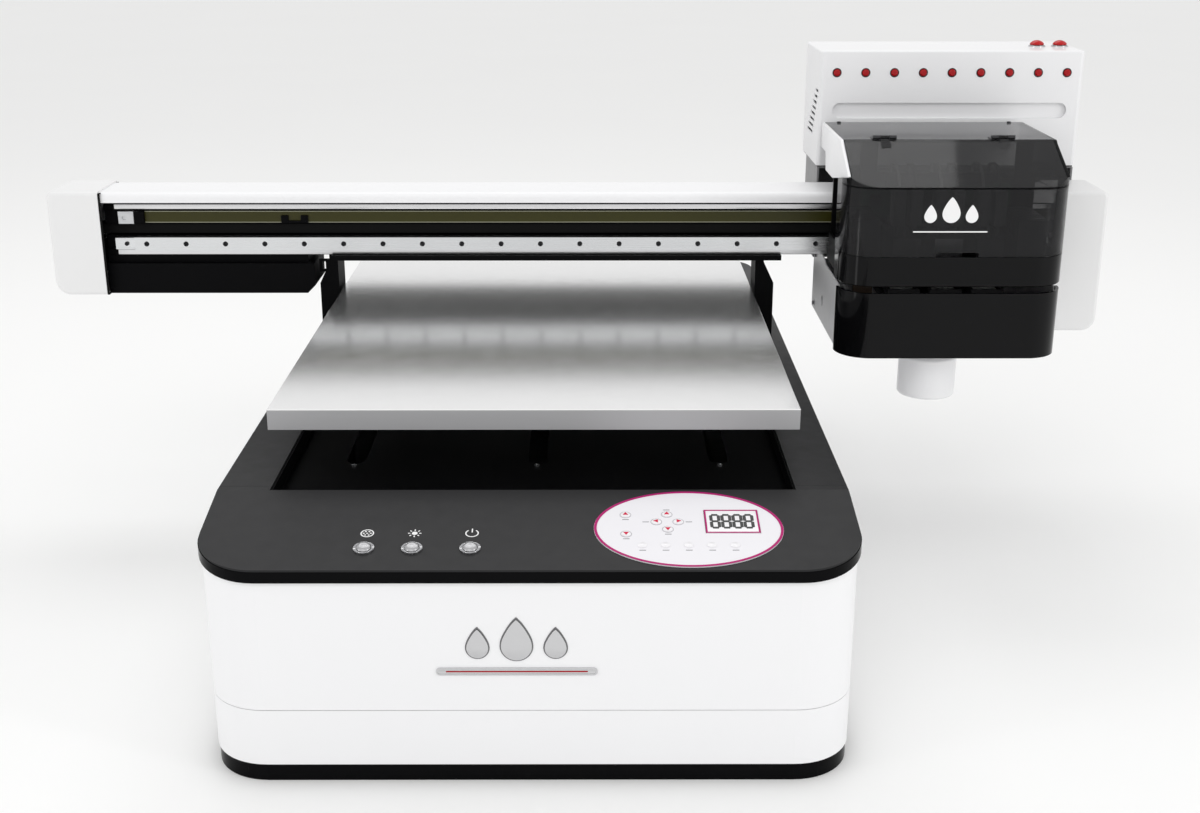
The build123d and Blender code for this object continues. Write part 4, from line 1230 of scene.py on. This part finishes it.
# under the hood: dampers, ink pipes, manifold and head board
heads = {"xs": (520 * mm, 580 * mm, 640 * mm), "columns": (-12 * mm, 12 * mm)}
damper = {
    "size": (17 * mm, 30 * mm, 50 * mm),
    "low": 503 * mm,
    "y": 652 * mm,
    "window": ((2.4 * mm, 0), (0.6 * mm, -1.0 * mm)),
    "neck": 5.5 * mm,
    "nipple": (0.5 * mm, 3.0 * mm),
    "soft": 0.5 * mm,
}
body = startBar("inkDampers", *damper["size"])
sinkFaces(body, lambda place, normal: abs(normal.x) > 0.9, *damper["window"])
sinkFaces(body, lambda place, normal: abs(normal.z) > 0.9, (damper["neck"], 0))
sinkFaces(body, lambda place, normal: abs(normal.z) > 0.9 and place.xy.length < 1e-5, damper["nipple"])
soften(body, damper["soft"])
damperSpots = [
    (x + column, frontY + damper["y"], damper["low"]) for x in heads["xs"] for column in heads["columns"]
]
dampers = copies(body, "inkDampers", [shift(*spot) for spot in damperSpots])
dress(dampers, "damperPlastic", "carriage")

pipe = {
    "radius": 2.1 * mm,
    "backY": 712 * mm,
    "middleY": 690 * mm,
    "down": 566 * mm,
    "manifoldY": 722 * mm,
    "spread": 0.42 * mm,
    "rises": (1.5 * mm, 10.5 * mm, 23.1 * mm, 31.1 * mm, 25.5 * mm),
    "bend": 12 * mm,
    "drop": 14 * mm,
}


def makePipe(name, x, index):
    base = damper["low"] + damper["size"][2]
    extra = pipe["spread"] * index
    foot, straight, bend, crest, back = (base + rise for rise in pipe["rises"])
    route = [
        (x, frontY + damper["y"], foot),
        (x, frontY + damper["y"], straight),
        (x, frontY + damper["y"] + pipe["bend"], bend + extra),
        (x, frontY + pipe["middleY"], crest + extra),
        (x, frontY + pipe["backY"], back),
        (x, frontY + pipe["manifoldY"], pipe["down"] + pipe["drop"]),
        (x, frontY + pipe["manifoldY"], pipe["down"]),
    ]
    curve = bpy.data.curves.new(name, "CURVE")
    curve.dimensions = "3D"
    curve.bevel_depth = pipe["radius"]
    curve.bevel_resolution = 3
    line = curve.splines.new("NURBS")
    line.points.add(len(route) - 1)
    for point, spot in zip(line.points, route):
        point.co = (*spot, 1)
    line.order_u = 4
    line.use_endpoint_u = True
    curve.use_fill_caps = True
    made = bpy.data.objects.new(name, curve)
    bpy.context.scene.collection.objects.link(made)
    handle(made)
    bpy.ops.object.convert(target="MESH")
    return bpy.context.active_object


for first, name, finishName in ((0, "inkPipesA", "inkPipeClear"), (1, "inkPipesB", "inkPipeDark")):
    pipes = [makePipe("pipe", damperSpots[n][0], n) for n in range(first, len(damperSpots), 2)]
    dress(joined(name, pipes), finishName, "carriage")


def boxBehind(name, size):  # its corners' y is measured from the front of the base
    return startBox(name, *[(x, frontY + y, z) for x, y, z in (size["low"], size["high"])])


manifold = {
    "low": (500 * mm, 713 * mm, 548 * mm),
    "high": (660 * mm, 731 * mm, 566 * mm),
    "round": 2.5 * mm,
    "window": (3 * mm, -1.5 * mm),
}
block = boxBehind("inkManifold", manifold)
soften(block, manifold["round"], 3)
sinkFaces(block, inFront, manifold["window"])
dress(block, "motorBlack", "carriage")

board = {
    "low": (470 * mm, 744 * mm, 494 * mm),
    "high": (694 * mm, 745.6 * mm, 546 * mm),
    "corner": 3 * mm,
    "chip": (16 * mm, 2.6 * mm),
    "chipTop": (0.8 * mm, 0.5 * mm),
    "chipSoft": 0.3 * mm,
    "chips": ((492, 520), (528, 526), (568, 518), (612, 524), (652, 516), (676, 530)),
}
card = boxBehind("headBoard", board)
roundEdges(card, lambda place, way: abs(way.y) > 0.9, board["corner"], 4)
dress(card, "circuitGreen", "carriage")
half, chipDeep = board["chip"][0] / 2, board["chip"][1]
chip = startBox("boardChips", (-half, -chipDeep, -half), (half, 0, half))
sinkFaces(chip, inFront, board["chipTop"])
soften(chip, board["chipSoft"], 1)
chipSpots = [shift(x * mm, frontY + board["low"][1], z * mm) for x, z in board["chips"]]
dress(copies(chip, "boardChips", chipSpots), "motorBlack", "carriage")

# undersides: nozzle plates, lamp windows and the foam in the caps
headLow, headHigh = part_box("print_heads")
nozzle = {
    "size": (36 * mm, 112 * mm, 0.4 * mm),
    "rim": 4 * mm,
    "rows": (5 * mm, 9 * mm),
    "slot": (0.8 * mm, -0.3 * mm),
}
face = startBar("nozzlePlates", *nozzle["size"])
pick(face, "faces", onTop)
bpy.ops.mesh.inset(thickness=nozzle["rim"], depth=0)
bpy.ops.mesh.subdivide(number_cuts=4)
clearPick()


def inRows(place, normal):
    return onTop(place, normal) and nozzle["rows"][0] < abs(place.x) < nozzle["rows"][1]


sinkFaces(face, inRows, nozzle["slot"])
headY = (headLow[1] + headHigh[1]) / 2
places = [shift(x, headY, headLow[2]) @ facing["down"] for x in heads["xs"]]
dress(copies(face, "nozzlePlates", places), "chrome", "carriage")

lampLow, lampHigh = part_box("uv_lamps")
glass = {
    "size": (34 * mm, 100 * mm, 0.5 * mm),
    "pane": (2.5 * mm, -0.2 * mm),
    "soft": 0.1 * mm,
    "xs": (461 * mm, 699 * mm),
}
window = startBar("lampWindows", *glass["size"])
sinkFaces(window, onTop, glass["pane"])
soften(window, glass["soft"], 1)
places = [shift(x, (lampLow[1] + lampHigh[1]) / 2, lampLow[2]) @ facing["down"] for x in glass["xs"]]
dress(copies(window, "lampWindows", places), "lampGlass", "carriage")

foam = {"size": (35 * mm, 103 * mm, 4.5 * mm), "dome": (2 * mm, 0.5 * mm), "soft": 0.8 * mm, "sink": 7 * mm}
pad = startBar("capFoam", *foam["size"])
sinkFaces(pad, onTop, foam["dome"])
soften(pad, foam["soft"])
places = [shift(x, headY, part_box("cap_unit")[1][2] - foam["sink"]) for x in heads["xs"]]
dress(copies(pad, "capFoam", places), "foamWhite", "capping")

# collar of the waste bottle
neck = {"radius": 22 * mm, "width": 5.2 * mm, "height": 3.2 * mm, "soft": 0.8 * mm, "drop": 13 * mm}
bottleLow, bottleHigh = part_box("waste_bottle")
bottleX, bottleY = (bottleLow[0] + bottleHigh[0]) / 2, (bottleLow[1] + bottleHigh[1]) / 2
collarRing = startDisc("bottleCollar", neck["radius"], 48)
ringFrom(collarRing, neck["width"], neck["height"])
soften(collarRing, neck["soft"])
collarRing.data.transform(shift(bottleX, bottleY, bottleHigh[2] - neck["drop"]))
dress(collarRing, "inkWhite", "base")
print("carriage inside, undersides and bottle made")

# floor
clearPick()
bpy.ops.mesh.primitive_plane_add(size=studio["floorSize"], location=(0, 0, studio["floorZ"]))
floor = bpy.context.active_object
floor.name = "floor"
floorFinish = Finish("floorPaper", rough=0.9, specular=0.1)
tone = floorFinish.noise(1.2, 2.0)
floorFinish.set(colour=floorFinish.mixed(tone, shade(studio["floorColour"], 0.985), studio["floorColour"]))
floor.data.materials.append(floorFinish.material)
